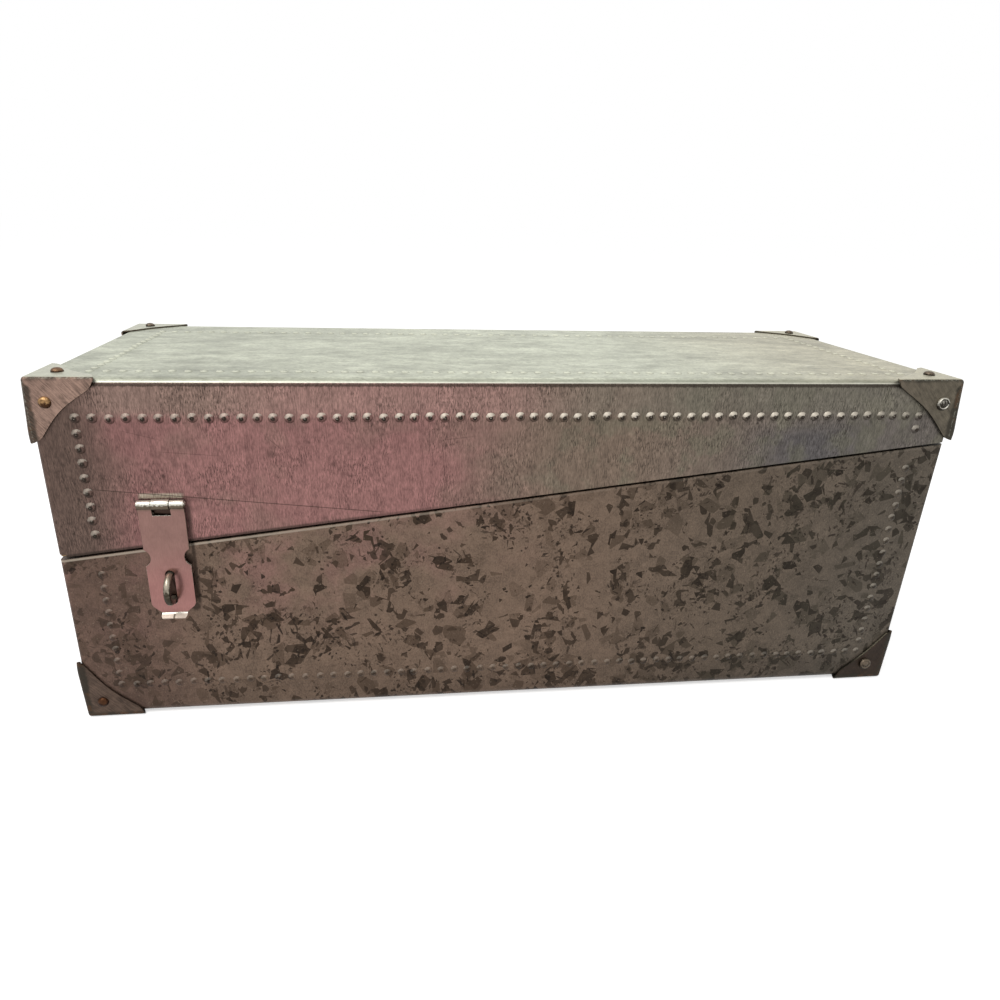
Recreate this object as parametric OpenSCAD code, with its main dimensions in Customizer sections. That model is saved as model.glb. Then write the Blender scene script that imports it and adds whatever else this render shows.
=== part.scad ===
// Sheet-metal clad storage box with a slanted parting line.
// The lid is hinged at the right-hand end and held shut by a hasp near the left-hand end.
// Millimetres, +Z up, front of the box towards -Y, origin on the floor under the middle of the whole thing.

/* [Box] */
// Outside length of the clad box, from end to end
box_length = 507.5; // [420:0.5:620]
// Outside depth of the clad box, front to back
box_depth = 175; // [150:1:240]
// Outside height of the clad box, underside to top
box_height = 203.8; // [190:0.2:250]
// Outside radius of the bends at the upright corners
corner_radius = 2; // [1.2:0.1:3]
// Outside radius of the bends along the top and bottom edges
edge_radius = 5; // [3:0.2:5]

/* [Parting line] */
// Height of the parting line above the underside, at the left end
split_left = 104; // [96:1:112]
// Height of the parting line above the underside, at the right end
split_right = 166; // [150:1:166]
// Open gap between the rim of the base and the rim of the lid
lid_gap = 1.3; // [0.8:0.1:2]

/* [Boards] */
// Thickness of the wall boards
board_t = 9; // [8:0.5:12]
// Thickness of the floor board and the top board
panel_t = 6; // [5.5:0.5:9]

/* [Sheet metal] */
// Thickness of the cladding sheets
sheet_t = 0.6; // [0.4:0.1:0.8]
// Width of the hem that is folded over each rim
hem_w = 7; // [5:0.5:8]
// Width of the front and back sheets that is turned onto the ends
wrap_w = 12; // [9:1:16]
// Width of the notch where the lid's front hem is clipped at its left corner
notch_w = 4; // [2:0.5:6]
// Height of that notch
notch_h = 2; // [1:0.5:3]

/* [Dimples] */
// Diameter of the dimples pressed in the lid
lid_dimple_d = 5.4; // [4:0.1:6]
// Height of the dimples in the lid
lid_dimple_h = 1.5; // [0.8:0.1:2]
// Diameter of the dimples pressed in the base
base_dimple_d = 4.8; // [4:0.1:6]
// Height of the dimples in the base
base_dimple_h = 1.1; // [0.6:0.1:2]
// Distance from dimple to dimple, before it is evened out along a row
dimple_pitch = 8.15; // [7.5:0.05:12]
// Distance from a face's edge to its border of dimples
dimple_inset = 20.8; // [20:0.2:26]
// Diameter of the dimples in the top
top_dimple_d = 4.8; // [4:0.1:6]
// Height of the dimples in the top, which are shallower
top_dimple_h = 0.8; // [0.5:0.1:1.5]
// Distance from the ends of the top to its border of dimples
top_dimple_in = 25; // [22:0.2:30]
// Distance from the front of the top to its border of dimples
top_dimple_front = 17.4; // [17:0.2:26]
// Distance from the back of the top to its border of dimples
top_dimple_back = 30; // [20:0.2:34]
// Bare strip between a dimple and the rim
dimple_margin = 1.8; // [1:0.2:4]
// How far the dimples, set by hand, stray from their places
dimple_stray = 0.35; // [0:0.05:0.5]

/* [Corner caps] */
// Thickness of a corner cap
cap_t = 1; // [0.8:0.1:1.4]
// Reach of a cap along the box's length
cap_leg_x = 34; // [28:0.5:38]
// Reach of a cap across the box's depth
cap_leg_y = 34; // [28:0.5:38]
// Reach of a cap up or down the box's height
cap_leg_z = 36; // [28:0.5:36]
// Radius of a cap's rounded tips
cap_tip_r = 5; // [3:0.5:6]
// Outside radius of a cap's three edges
cap_edge_r = 1.7; // [1.2:0.1:2]
// Straight edge left at the end of each leg, before the rounded tip
cap_tip_edge = 1.2; // [0.6:0.1:2]

/* [Cap nails] */
// Diameter of a domed nail head
nail_head_d = 7.2; // [6:0.1:8]
// Height of a domed nail head
nail_head_h = 2.2; // [1.6:0.1:2.6]
// Diameter of a nail's shank
nail_shank_d = 1.8; // [1.4:0.1:2]
// Length of the nails in the wall boards, below the cap
nail_length = 8; // [6:0.5:8]
// Length of the nails in the floor and top boards, below the cap
tack_length = 5; // [4:0.5:5.5]
// Distance from a nail to the box's edges
nail_inset = 11.5; // [10.5:0.5:13]
// Distance of the front nails from the box's ends: top left, top right, bottom left, bottom right
front_nail_in = [8.6, 8.8, 9, 13]; // [8:0.2:13]
// Distance of the front nails from the top or bottom edge, in the same order
front_nail_up = [12, 13.4, 10, 11.2]; // [10:0.2:14]
// Diameter of the flat heads under the base
tack_head_d = 4.6; // [4:0.1:5]
// Depth of a flat head below the cap's face
tack_sink = 0.15; // [0.1:0.05:0.3]

/* [Hasp] */
// Distance from the left end to the middle of the hasp
hasp_from_left = 57.3; // [50:0.1:80]
// Height of the hasp pin above the parting line
hasp_pin_rise = 25.2; // [22:0.2:28]
// Thickness of the hasp's plates
hasp_t = 1; // [0.8:0.1:1.2]
// Gap between the strap and the screw heads that it covers
strap_clearance = 0.35; // [0.2:0.05:0.6]
// Width of the hasp strap
strap_w = 24; // [22:0.5:28]
// Diameter of the hasp pin
hasp_pin_d = 2.8; // [2.4:0.1:3]
// How far the hasp pin stands out at each end
hasp_pin_end = 0.9; // [0.6:0.1:1.4]
// Angle below the pin's level at which the strap leaves the front of its knuckles
ramp_angle = 55; // [45:1:60]
// How far above the notch the strap becomes flat
ramp_foot_rise = 0.4; // [0.3:0.1:1]
// Width of the middle knuckle, which belongs to the leaf
hasp_mid_knuckle = 9; // [7:0.5:10]
// Distance from the pin to the foot of the notch under the middle knuckle
knuckle_notch = 6.2; // [5.6:0.1:7]
// Length of the strap, from the pin to the root of its lip
strap_length = 65.5; // [64.5:0.5:72]
// Distance from the pin to the middle of the waist notches
waist_drop = 31.4; // [30:0.2:32]
// Radius of the waist notches
waist_r = 5.6; // [4:0.1:6]
// Depth of the waist notches
waist_depth = 3.1; // [2:0.1:4]
// Width of the cut corners at the strap's foot
strap_corner_w = 5; // [3:0.2:6]
// Height of the cut corners at the strap's foot
strap_corner_h = 4.4; // [3:0.2:4.6]
// Easing where the cut corners meet the strap's sides
strap_ease = 0.9; // [0.4:0.1:1.2]
// Length of the turned-out lip
lip_length = 3.2; // [2:0.2:4]
// Angle that the lip is turned out
lip_angle = 58; // [40:1:70]
// How much narrower the lip gets on each side
lip_taper = 1; // [0:0.2:2]
// Inside radius of the lip's bend
lip_bend_r = 0.6; // [0.4:0.1:1]
// Gap between the staple and each side of the slot in the strap
slot_side_gap = 0.55; // [0.4:0.05:0.8]
// Gap between the staple and each end of the slot in the strap
slot_end_gap = 1; // [0.8:0.1:1.4]
// Height of the hasp's fixed leaf, below the pin
hasp_leaf_h = 21.5; // [19:0.5:22]
// Width of the hasp's fixed leaf
hasp_leaf_w = 20; // [19:0.5:22]

/* [Staple] */
// Distance from the hasp pin down to the middle of the staple
staple_drop = 49.8; // [49.6:0.2:51]
// Diameter of the staple's wire
staple_wire_d = 3.7; // [3:0.1:4]
// Outside height of the staple
staple_h = 19.3; // [17:0.1:19.6]
// How far the staple stands out of the box
staple_reach = 13.7; // [12.5:0.1:16]
// Depth of the staple's legs below the clad surface
staple_leg_depth = 4; // [3:0.5:6]
// Width of the staple's plate
staple_plate_w = 19; // [18:0.5:21]
// Height of the staple's plate
staple_plate_h = 27; // [26:0.2:27.4]
// Radius of the plates' corners
plate_corner_r = 2; // [1:0.2:3]
// Thickness of the staple's plate
staple_plate_t = 1; // [0.8:0.1:1.2]

/* [Hinges] */
// Distance from the middle of the box to the middle of each hinge
hinge_from_middle = 36; // [28:1:40]
// Width of a hinge
hinge_w = 32; // [28:1:36]
// Height of a hinge leaf, from the pin
hinge_leaf_h = 12.4; // [11:0.2:12.6]
// Thickness of a hinge leaf
hinge_t = 1.2; // [1:0.1:1.4]
// Diameter of a hinge pin
hinge_pin_d = 2.6; // [2:0.1:3]
// How far a hinge pin stands out at each end
hinge_pin_end = 0.5; // [0.3:0.1:1]
// Width of the middle knuckle, which belongs to the lid's leaf
hinge_mid_knuckle = 11; // [9:0.5:14]
// Distance from a leaf's outer screws to its ends
hinge_screw_in = 5.1; // [4:0.1:6]

/* [Small screws] */
// Diameter of a round screw head
screw_head_d = 4; // [3.4:0.1:4.4]
// Height of a round screw head
screw_head_h = 0.8; // [0.6:0.1:1]
// Width of the slot in a screw head
screw_slot_w = 0.7; // [0.5:0.1:1]
// Diameter of a screw's shank
screw_shank_d = 2; // [1.6:0.1:2.4]
// Length of a screw, below the plate's underside
screw_length = 6.5; // [5:0.5:7]
// Distance from a screw to its plate's nearest edges
screw_edge = 3.6; // [3.2:0.1:4]

/* [Fits] */
// Gap all round a pin in its knuckles
pin_clearance = 0.05; // [0.03:0.01:0.08]
// Gap between neighbouring knuckles
knuckle_gap = 0.3; // [0.2:0.05:0.4]
// Gap all round a nail, screw or staple leg in its hole
hole_clearance = 0.05; // [0.03:0.01:0.1]
// Gap between a knuckle and the face that it sits on
seat_gap = 0.05; // [0.04:0.01:0.1]
// Gap past the tip of a nail, screw or staple leg
hole_end_gap = 0.1; // [0.05:0.05:0.5]

/* [Hidden] */
$fn = 48;

half_l = box_length / 2;
half_d = box_depth / 2;
z_under = cap_t;
z_top = z_under + box_height;
reach = 2 * box_length;
// Overshoot of a cutting solid
cut = 1;
// Least radius left where a bend is drawn in
least_r = 0.2;
// Steps in an arc that is given by points
arc_steps = 6;

// Parting plane
split_tilt = atan((split_right - split_left) / box_length);
function split_z(x) = z_under + split_left + (x + half_l) * tan(split_tilt);

// Hasp and staple
hasp_knuckle_r = hasp_pin_d / 2 + pin_clearance + hasp_t;
hasp_axis_out = hasp_knuckle_r + seat_gap;
hasp_x = -half_l + hasp_from_left;
hasp_z = split_z(hasp_x) + hasp_pin_rise;
strap_back = max(hasp_t, staple_plate_t) + screw_head_h + strap_clearance;
lip_w = strap_w - 2 * strap_corner_w;
lip_root = hasp_t;
slot_w = staple_wire_d + 2 * slot_side_gap;
slot_length = staple_h + 2 * slot_end_gap;
staple_z = hasp_z - staple_drop;
staple_r = staple_wire_d / 2;
staple_bow_r = staple_h / 2 - staple_r;
staple_straight = staple_reach - staple_r - staple_bow_r;
hasp_bore_r = hasp_pin_d / 2 + pin_clearance;
hasp_mid_half = hasp_mid_knuckle / 2;
hasp_side_from = hasp_mid_half + knuckle_gap;

// Hinges
hinge_knuckle_r = hinge_pin_d / 2 + pin_clearance + hinge_t;
hinge_axis_out = hinge_knuckle_r + seat_gap;
hinge_x = half_l + hinge_axis_out;
hinge_z = split_z(hinge_x);
hinge_bore_r = hinge_pin_d / 2 + pin_clearance;
hinge_mid_half = hinge_mid_knuckle / 2;
hinge_side_from = hinge_mid_half + knuckle_gap;

// Insides of the wall boards, and the zones that the boards fill in plan
wall_y = half_d - sheet_t - board_t;
wall_x = half_l - sheet_t - board_t;
front_zone = [[-box_length, -half_d], [2 * box_length, half_d - wall_y]];
right_zone = [[wall_x, -wall_y], [half_l, 2 * wall_y]];

// Flat heads under the base
tack_cone_h = cap_t - 2 * tack_sink;

// Borders of dimples, and how far they keep from the parting line
rim_to_dimple = max(lid_dimple_d, base_dimple_d) / 2 + dimple_stray + dimple_margin + lid_gap / 2;
dimple_clear = rim_to_dimple / cos(split_tilt);
long_face = border(box_length, box_height, dimple_inset, dimple_inset, dimple_inset);
end_face = border(box_depth, box_height, dimple_inset, dimple_inset, dimple_inset);
top_face = border(box_length, box_depth, top_dimple_in, top_dimple_front, top_dimple_back);
base_long = [for (p = long_face) if (under(p, p[0] - half_l)) p];
lid_long = [for (p = long_face) if (over(p, p[0] - half_l)) p];
base_left = [for (p = end_face) if (under(p, -half_l)) p];
lid_left = [for (p = end_face) if (over(p, -half_l)) p];
base_right = [for (p = end_face) if (under(p, half_l)) p];
lid_right = [for (p = end_face) if (over(p, half_l)) p];

// The origin lies under the middle of the box that bounds everything
nail_reach = cap_t + nail_head_h;
left_reach = half_l + nail_reach;
right_reach = half_l + max(nail_reach, hinge_axis_out + hinge_knuckle_r);
front_reach = half_d + max(nail_reach, staple_reach);
back_reach = half_d + nail_reach;
mid_x = (right_reach - left_reach) / 2;
mid_y = (back_reach - front_reach) / 2;

steel = [0.56, 0.55, 0.51];
spangled = [0.48, 0.45, 0.41];
plated = [0.72, 0.69, 0.63];
timber = [0.63, 0.50, 0.36];
rusty = [0.45, 0.33, 0.20];

// Shifts a piece so that the origin lies under the middle of everything
module placed() {
    translate([-mid_x, -mid_y, 0]) children();
}

// Plan of the clad box, drawn in by inset
module plan(inset) {
    l = box_length - 2 * inset;
    d = box_depth - 2 * inset;
    r = max(corner_radius - inset, least_r);
    square([l - 2 * r, d], center = true);
    square([l, d - 2 * r], center = true);
    for (sx = [-1, 1], sy = [-1, 1])
        translate([sx * (l / 2 - r), sy * (d / 2 - r)]) circle(r);
}

// Side view of the clad box, length along X and height along Y, drawn in by inset
module side_view(length, inset) {
    l = length - 2 * inset;
    h = box_height - 2 * inset;
    r = max(edge_radius - inset, least_r);
    translate([0, z_under + box_height / 2]) {
        square([l - 2 * r, h], center = true);
        square([l, h - 2 * r], center = true);
        for (sx = [-1, 1], sy = [-1, 1])
            translate([sx * (l / 2 - r), sy * (h / 2 - r)]) circle(r);
    }
}

// The clad box as one block, drawn in by inset
module block(inset) {
    intersection() {
        linear_extrude(2 * z_top) plan(inset);
        translate([0, box_depth, 0]) rotate([90, 0, 0])
            linear_extrude(2 * box_depth) side_view(box_length, inset);
        translate([-box_length, 0, 0]) rotate([90, 0, 90])
            linear_extrude(2 * box_length) side_view(box_depth, inset);
    }
}

// Everything under the parting plane, lowered by drop at right angles to it
module under_split(drop) {
    translate([-half_l, 0, z_under + split_left])
        rotate([0, -split_tilt, 0])
        translate([-reach / 2, -reach / 2, -reach - drop])
        cube([2 * reach, reach, reach]);
}

// Everything over the parting plane, raised by rise at right angles to it
module over_split(rise) {
    translate([-half_l, 0, z_under + split_left])
        rotate([0, -split_tilt, 0])
        translate([-reach / 2, -reach / 2, rise])
        cube([2 * reach, reach, reach]);
}

module base_side(drop) {
    intersection() {
        children();
        under_split(lid_gap / 2 + drop);
    }
}

module lid_side(rise) {
    intersection() {
        children();
        over_split(lid_gap / 2 + rise);
    }
}

// Radius of the ball whose cap has diameter d and height h
function ball_radius(d, h) = (pow(d / 2, 2) + pow(h, 2)) / (2 * h);

// Domed head standing on the plane z = 0
module dome(d, h) {
    ball_r = ball_radius(d, h);
    intersection() {
        translate([0, 0, h - ball_r]) sphere(ball_r);
        cylinder(d = 2 * d, h = 2 * h);
    }
}

module domed_nail(length) {
    dome(nail_head_d, nail_head_h);
    translate([0, 0, -length - cap_t]) cylinder(d = nail_shank_d, h = length + cap_t);
}

// Sunk cone of a flat-headed nail, grown all round by gap
module tack_cone(gap) {
    translate([0, 0, -tack_sink - tack_cone_h])
        cylinder(d1 = nail_shank_d + 2 * gap, d2 = tack_head_d + 2 * gap, h = tack_cone_h);
}

module flat_tack() {
    tack_cone(0);
    translate([0, 0, -tack_length - cap_t])
        cylinder(d = nail_shank_d, h = tack_length + cap_t - tack_sink - tack_cone_h / 2);
}

module tack_seat() {
    tack_cone(hole_clearance);
    translate([0, 0, -tack_sink]) cylinder(d = tack_head_d + 2 * hole_clearance, h = cap_t);
}

module screw(length) {
    difference() {
        dome(screw_head_d, screw_head_h);
        translate([-screw_head_d, -screw_slot_w / 2, screw_head_h / 2])
            cube([2 * screw_head_d, screw_slot_w, screw_head_h]);
    }
    translate([0, 0, -length]) cylinder(d = screw_shank_d, h = length);
}

// Hole for a shank that starts above the surface and ends just past the shank's tip
module shank_hole(d, length) {
    translate([0, 0, -length - hole_end_gap])
        cylinder(d = d + 2 * hole_clearance, h = length + hole_end_gap + nail_reach);
}

// Places on the faces: children are drawn flat with +Z outwards

module on_front(x, z) {
    translate([x, -half_d, z]) rotate([90, 0, 0]) children();
}

module on_right(y, z) {
    translate([half_l, y, z]) rotate([90, 0, 90]) children();
}

// Corner caps are drawn at a corner with the box towards +X, +Y and +Z

module at_corner(sx, sy, sz) {
    translate([sx * half_l, sy * half_d, sz < 0 ? z_under : z_top])
        mirror([sx > 0 ? 1 : 0, 0, 0])
        mirror([0, sy > 0 ? 1 : 0, 0])
        mirror([0, 0, sz > 0 ? 1 : 0])
        children();
}

function arc(cx, cy, r, from, to) = [
    for (i = [0 : arc_steps])
        let (a = from + (to - from) * i / arc_steps)
        [cx + r * cos(a), cy + r * sin(a)]
];

// One three-cornered face of a cap: legs a and b, with rounded tips
module cap_face(a, b) {
    r = cap_tip_r;
    e = cap_tip_edge;
    slope = atan2(b - r - e, e - (a - r));
    polygon(concat(
        [[-cap_t, -cap_t], [a, -cap_t]],
        arc(a - r, e, r, 0, slope - 90),
        arc(e, b - r, r, slope - 90, 90),
        [[-cap_t, b]]
    ));
}

// Corner of the cap's outside, with its edge rounded, seen along that edge
module rounded_corner_plan(size) {
    translate([-cap_t + cap_edge_r, -cap_t]) square([size, size]);
    translate([-cap_t, -cap_t + cap_edge_r]) square([size, size]);
    translate([-cap_t + cap_edge_r, -cap_t + cap_edge_r]) circle(cap_edge_r);
}

// Place of the nail on each of a cap's three faces; +Z of the child points outwards
module on_cap_x() {
    translate([-cap_t, nail_inset, nail_inset]) rotate([0, -90, 0]) children();
}
module on_cap_y(spot) {
    translate([spot[0], -cap_t, spot[1]]) rotate([90, 0, 0]) children();
}
module on_cap_z() {
    translate([nail_inset, nail_inset, -cap_t]) rotate([180, 0, 0]) children();
}

// Place of the nail on a cap's front or back face, from the box's end and from its top or bottom
function nail_spot(sx, sy, sz) =
    let (i = (sx > 0 ? 1 : 0) + (sz < 0 ? 2 : 0))
    sy < 0 ? [front_nail_in[i], front_nail_up[i]] : [nail_inset, nail_inset];

module cap_blank() {
    size = 2 * max(cap_leg_x, cap_leg_y, cap_leg_z);
    intersection() {
        union() {
            translate([0, 0, -cap_t]) linear_extrude(cap_t) cap_face(cap_leg_x, cap_leg_y);
            rotate([90, 0, 0]) linear_extrude(cap_t) cap_face(cap_leg_x, cap_leg_z);
            rotate([90, 0, 90]) translate([0, 0, -cap_t])
                linear_extrude(cap_t) cap_face(cap_leg_y, cap_leg_z);
        }
        translate([0, 0, -cap_t]) linear_extrude(size) rounded_corner_plan(size);
        rotate([90, 0, 0]) translate([0, 0, -size])
            linear_extrude(size + cap_t) rounded_corner_plan(size);
        rotate([90, 0, 90]) translate([0, 0, -cap_t])
            linear_extrude(size) rounded_corner_plan(size);
    }
}

module corner_cap(sx, sy, sz) {
    color(steel) placed() at_corner(sx, sy, sz) difference() {
        cap_blank();
        on_cap_x() shank_hole(nail_shank_d, cap_t + nail_length);
        on_cap_y(nail_spot(sx, sy, sz)) shank_hole(nail_shank_d, cap_t + nail_length);
        on_cap_z() shank_hole(nail_shank_d, cap_t + tack_length);
        if (sz < 0) on_cap_z() tack_seat();
    }
}

module cap_nails(sz) {
    color(rusty) placed() for (sx = [-1, 1], sy = [-1, 1]) at_corner(sx, sy, sz) {
        on_cap_x() domed_nail(nail_length);
        on_cap_y(nail_spot(sx, sy, sz)) domed_nail(nail_length);
        if (sz > 0) on_cap_z() domed_nail(tack_length);
        else on_cap_z() flat_tack();
    }
}

module nail_holes(sz) {
    for (sx = [-1, 1], sy = [-1, 1]) at_corner(sx, sy, sz) {
        on_cap_x() shank_hole(nail_shank_d, cap_t + nail_length);
        on_cap_y(nail_spot(sx, sy, sz)) shank_hole(nail_shank_d, cap_t + nail_length);
        on_cap_z() shank_hole(nail_shank_d, cap_t + tack_length);
    }
}

// Points of a border of dimples on a face of width w and height h, from the face's corner.
// The border lies side from both ends, low from the near edge and high from the far one.
function border(w, h, side, low, high) =
    let (
        run = w - 2 * side,
        rise = h - low - high,
        n = max(round(run / dimple_pitch), 1),
        m = max(round(rise / dimple_pitch), 1)
    )
    concat(
        [for (k = [0 : n], v = [low, h - high]) [side + run * k / n, v]],
        [for (k = [1 : m - 1], u = [side, w - side]) [u, low + rise * k / m]]
    );

// Whether a dimple at point p of a face, x along the box, lies well under or over the parting line
function under(p, x) = z_under + p[1] < split_z(x) - dimple_clear;
function over(p, x) = z_under + p[1] > split_z(x) + dimple_clear;

// Domes on the plane z = 0, rooted half a sheet deep, each a little off its place
module dimples(points, d, h) {
    ball_r = ball_radius(d, h);
    stray = rands(-dimple_stray, dimple_stray, 2 * len(points), len(points));
    intersection() {
        union() for (i = [0 : len(points) - 1])
            translate([points[i][0] + stray[2 * i], points[i][1] + stray[2 * i + 1], h - ball_r])
                sphere(ball_r);
        translate([-box_length, -box_length, -sheet_t / 2])
            cube([3 * box_length, 3 * box_length, sheet_t / 2 + 2 * h]);
    }
}

module front_lid_dimples() {
    on_front(-half_l, z_under) dimples(lid_long, lid_dimple_d, lid_dimple_h);
}
module front_base_dimples() {
    on_front(-half_l, z_under) dimples(base_long, base_dimple_d, base_dimple_h);
}
module end_lid_dimples(points) {
    on_right(-half_d, z_under) dimples(points, lid_dimple_d, lid_dimple_h);
}
module end_base_dimples(points) {
    on_right(-half_d, z_under) dimples(points, base_dimple_d, base_dimple_h);
}
module back_to_front() {
    mirror([0, 1, 0]) children();
}
module left_to_right() {
    mirror([1, 0, 0]) children();
}

// The flat middle of the top and of the underside, between the bends
module flats() {
    translate([-half_l + edge_radius, -half_d + edge_radius, 0])
        cube([box_length - 2 * edge_radius, box_depth - 2 * edge_radius, 2 * z_top]);
}

module front_skin() {
    difference() {
        intersection() {
            block(0);
            translate([-box_length, -half_d, 0]) cube([2 * box_length, wrap_w, 2 * z_top]);
        }
        block(sheet_t);
        flats();
    }
}

module front_hem() {
    linear_extrude(z_top) intersection() {
        plan(0);
        translate([-box_length, -half_d]) square([2 * box_length, hem_w]);
    }
}

module right_skin() {
    difference() {
        intersection() {
            block(0);
            translate([0, -half_d + wrap_w, 0]) cube([half_l, box_depth - 2 * wrap_w, 2 * z_top]);
        }
        block(sheet_t);
        flats();
    }
}

module right_hem() {
    translate([half_l - hem_w, -half_d + hem_w, 0])
        cube([hem_w, box_depth - 2 * hem_w, z_top]);
}

// The part of a rim's footprint that lies one sheet deep under the parting gap
module base_rim() {
    intersection() {
        children();
        difference() {
            under_split(lid_gap / 2);
            under_split(lid_gap / 2 + sheet_t);
        }
    }
}
module lid_rim() {
    intersection() {
        children();
        difference() {
            over_split(lid_gap / 2);
            over_split(lid_gap / 2 + sheet_t);
        }
    }
}

module base_holes() {
    nail_holes(-1);
    staple_screw_places() shank_hole(screw_shank_d, staple_plate_t + screw_length);
    staple_leg_holes();
    hinge_screw_places(-1) shank_hole(screw_shank_d, hinge_t + screw_length);
}

module lid_holes() {
    nail_holes(1);
    hasp_screw_places() shank_hole(screw_shank_d, hasp_t + screw_length);
    hinge_screw_places(1) shank_hole(screw_shank_d, hinge_t + screw_length);
}

module base_front_sheet() {
    color(spangled) placed() difference() {
        union() {
            base_side(0) front_skin();
            base_rim() front_hem();
            front_base_dimples();
        }
        base_holes();
    }
}

module base_back_sheet() {
    color(spangled) placed() difference() {
        back_to_front() {
            base_side(0) front_skin();
            base_rim() front_hem();
            front_base_dimples();
        }
        base_holes();
    }
}

module base_right_sheet() {
    color(spangled) placed() difference() {
        union() {
            base_side(0) right_skin();
            base_rim() right_hem();
            end_base_dimples(base_right);
        }
        base_holes();
    }
}

module base_left_sheet() {
    color(spangled) placed() difference() {
        union() {
            base_side(0) left_to_right() right_skin();
            base_rim() left_to_right() right_hem();
            left_to_right() end_base_dimples(base_left);
        }
        base_holes();
    }
}

module base_underside_sheet() {
    color(spangled) placed() difference() {
        intersection() {
            translate([0, 0, z_under]) linear_extrude(sheet_t) plan(0);
            flats();
        }
        base_holes();
    }
}

module clipped_hem_corner() {
    translate([-half_l - cut, -half_d - cut, split_z(-half_l)])
        cube([notch_w + cut, hem_w + 2 * cut, notch_h + lid_gap / 2]);
}

module lid_front_sheet() {
    color(steel) placed() difference() {
        union() {
            lid_side(0) front_skin();
            lid_rim() front_hem();
            front_lid_dimples();
        }
        clipped_hem_corner();
        lid_holes();
    }
}

module lid_back_sheet() {
    color(steel) placed() difference() {
        back_to_front() {
            lid_side(0) front_skin();
            lid_rim() front_hem();
            front_lid_dimples();
        }
        lid_holes();
    }
}

module lid_right_sheet() {
    color(steel) placed() difference() {
        union() {
            lid_side(0) right_skin();
            lid_rim() right_hem();
            end_lid_dimples(lid_right);
        }
        lid_holes();
    }
}

module lid_left_sheet() {
    color(steel) placed() difference() {
        union() {
            lid_side(0) left_to_right() right_skin();
            lid_rim() left_to_right() right_hem();
            left_to_right() end_lid_dimples(lid_left);
        }
        lid_holes();
    }
}

module lid_top_sheet() {
    color(steel) placed() difference() {
        union() {
            intersection() {
                translate([0, 0, z_top - sheet_t]) linear_extrude(sheet_t) plan(0);
                flats();
            }
            translate([-half_l, -half_d, z_top]) dimples(top_face, top_dimple_d, top_dimple_h);
        }
        lid_holes();
    }
}

// Boards

module board_plan(zone) {
    intersection() {
        plan(sheet_t);
        translate(zone[0]) square(zone[1]);
    }
}

module walls(zone) {
    translate([0, 0, z_under + sheet_t + panel_t])
        linear_extrude(box_height - 2 * sheet_t - 2 * panel_t) board_plan(zone);
}

module base_front_board() {
    color(timber) placed() difference() {
        base_side(sheet_t) walls(front_zone);
        base_holes();
    }
}
module base_back_board() {
    color(timber) placed() difference() {
        back_to_front() base_side(sheet_t) walls(front_zone);
        base_holes();
    }
}
module base_right_board() {
    color(timber) placed() difference() {
        base_side(sheet_t) walls(right_zone);
        base_holes();
    }
}
module base_left_board() {
    color(timber) placed() difference() {
        base_side(sheet_t) left_to_right() walls(right_zone);
        base_holes();
    }
}
module base_floor_board() {
    color(timber) placed() difference() {
        intersection() {
            block(sheet_t);
            linear_extrude(z_under + sheet_t + panel_t) plan(sheet_t);
        }
        base_holes();
    }
}
module lid_front_board() {
    color(timber) placed() difference() {
        lid_side(sheet_t) walls(front_zone);
        lid_holes();
    }
}
module lid_back_board() {
    color(timber) placed() difference() {
        back_to_front() lid_side(sheet_t) walls(front_zone);
        lid_holes();
    }
}
module lid_right_board() {
    color(timber) placed() difference() {
        lid_side(sheet_t) walls(right_zone);
        lid_holes();
    }
}
module lid_left_board() {
    color(timber) placed() difference() {
        lid_side(sheet_t) left_to_right() walls(right_zone);
        lid_holes();
    }
}
module lid_top_board() {
    color(timber) placed() difference() {
        intersection() {
            block(sheet_t);
            translate([0, 0, z_top - sheet_t - panel_t]) linear_extrude(2 * panel_t) plan(sheet_t);
        }
        lid_holes();
    }
}

// A knuckle lies along the local X axis, with the pin's axis on it
module knuckle(r, bore_r, x0, x1) {
    translate([x0, 0, 0]) rotate([0, 90, 0]) difference() {
        cylinder(r = r, h = x1 - x0);
        translate([0, 0, -cut]) cylinder(r = bore_r, h = x1 - x0 + 2 * cut);
    }
}

// Hasp, drawn at its pin: local X across, local Y outwards, local Z up

module at_hasp() {
    translate([hasp_x, -half_d - hasp_axis_out, hasp_z]) rotate([0, 0, 180]) children();
}

module hasp_screw_places() {
    high = hasp_knuckle_r + knuckle_gap + screw_edge;
    low = hasp_leaf_h - screw_edge;
    for (sx = [-1, 1], drop = [high, low])
        on_front(hasp_x + sx * (hasp_leaf_w / 2 - screw_edge), hasp_z - drop)
            translate([0, 0, hasp_t]) children();
}

module hasp_leaf() {
    back = hasp_axis_out;
    color(plated) placed() difference() {
        at_hasp() {
            translate([-hasp_leaf_w / 2, -back, -hasp_leaf_h])
                cube([hasp_leaf_w, hasp_t, hasp_leaf_h - hasp_knuckle_r - knuckle_gap]);
            difference() {
                translate([-hasp_mid_half, -back, -hasp_leaf_h])
                    cube([hasp_mid_knuckle, hasp_t, hasp_leaf_h + hasp_t]);
                rotate([0, 90, 0]) cylinder(r = hasp_bore_r, h = strap_w, center = true);
            }
            knuckle(hasp_knuckle_r, hasp_bore_r, -hasp_mid_half, hasp_mid_half);
        }
        lid_holes();
    }
}

module hasp_leaf_screws() {
    color(plated) placed() hasp_screw_places() screw(hasp_t + screw_length);
}

module hasp_pin() {
    color(plated) placed() at_hasp() rotate([0, 90, 0]) {
        cylinder(d = hasp_pin_d, h = strap_w + 2 * seat_gap, center = true);
        for (s = [0, 180]) rotate([s, 0, 0]) translate([0, 0, strap_w / 2 + seat_gap])
            dome(hasp_pin_d + hasp_pin_end, hasp_pin_end);
    }
}

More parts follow.
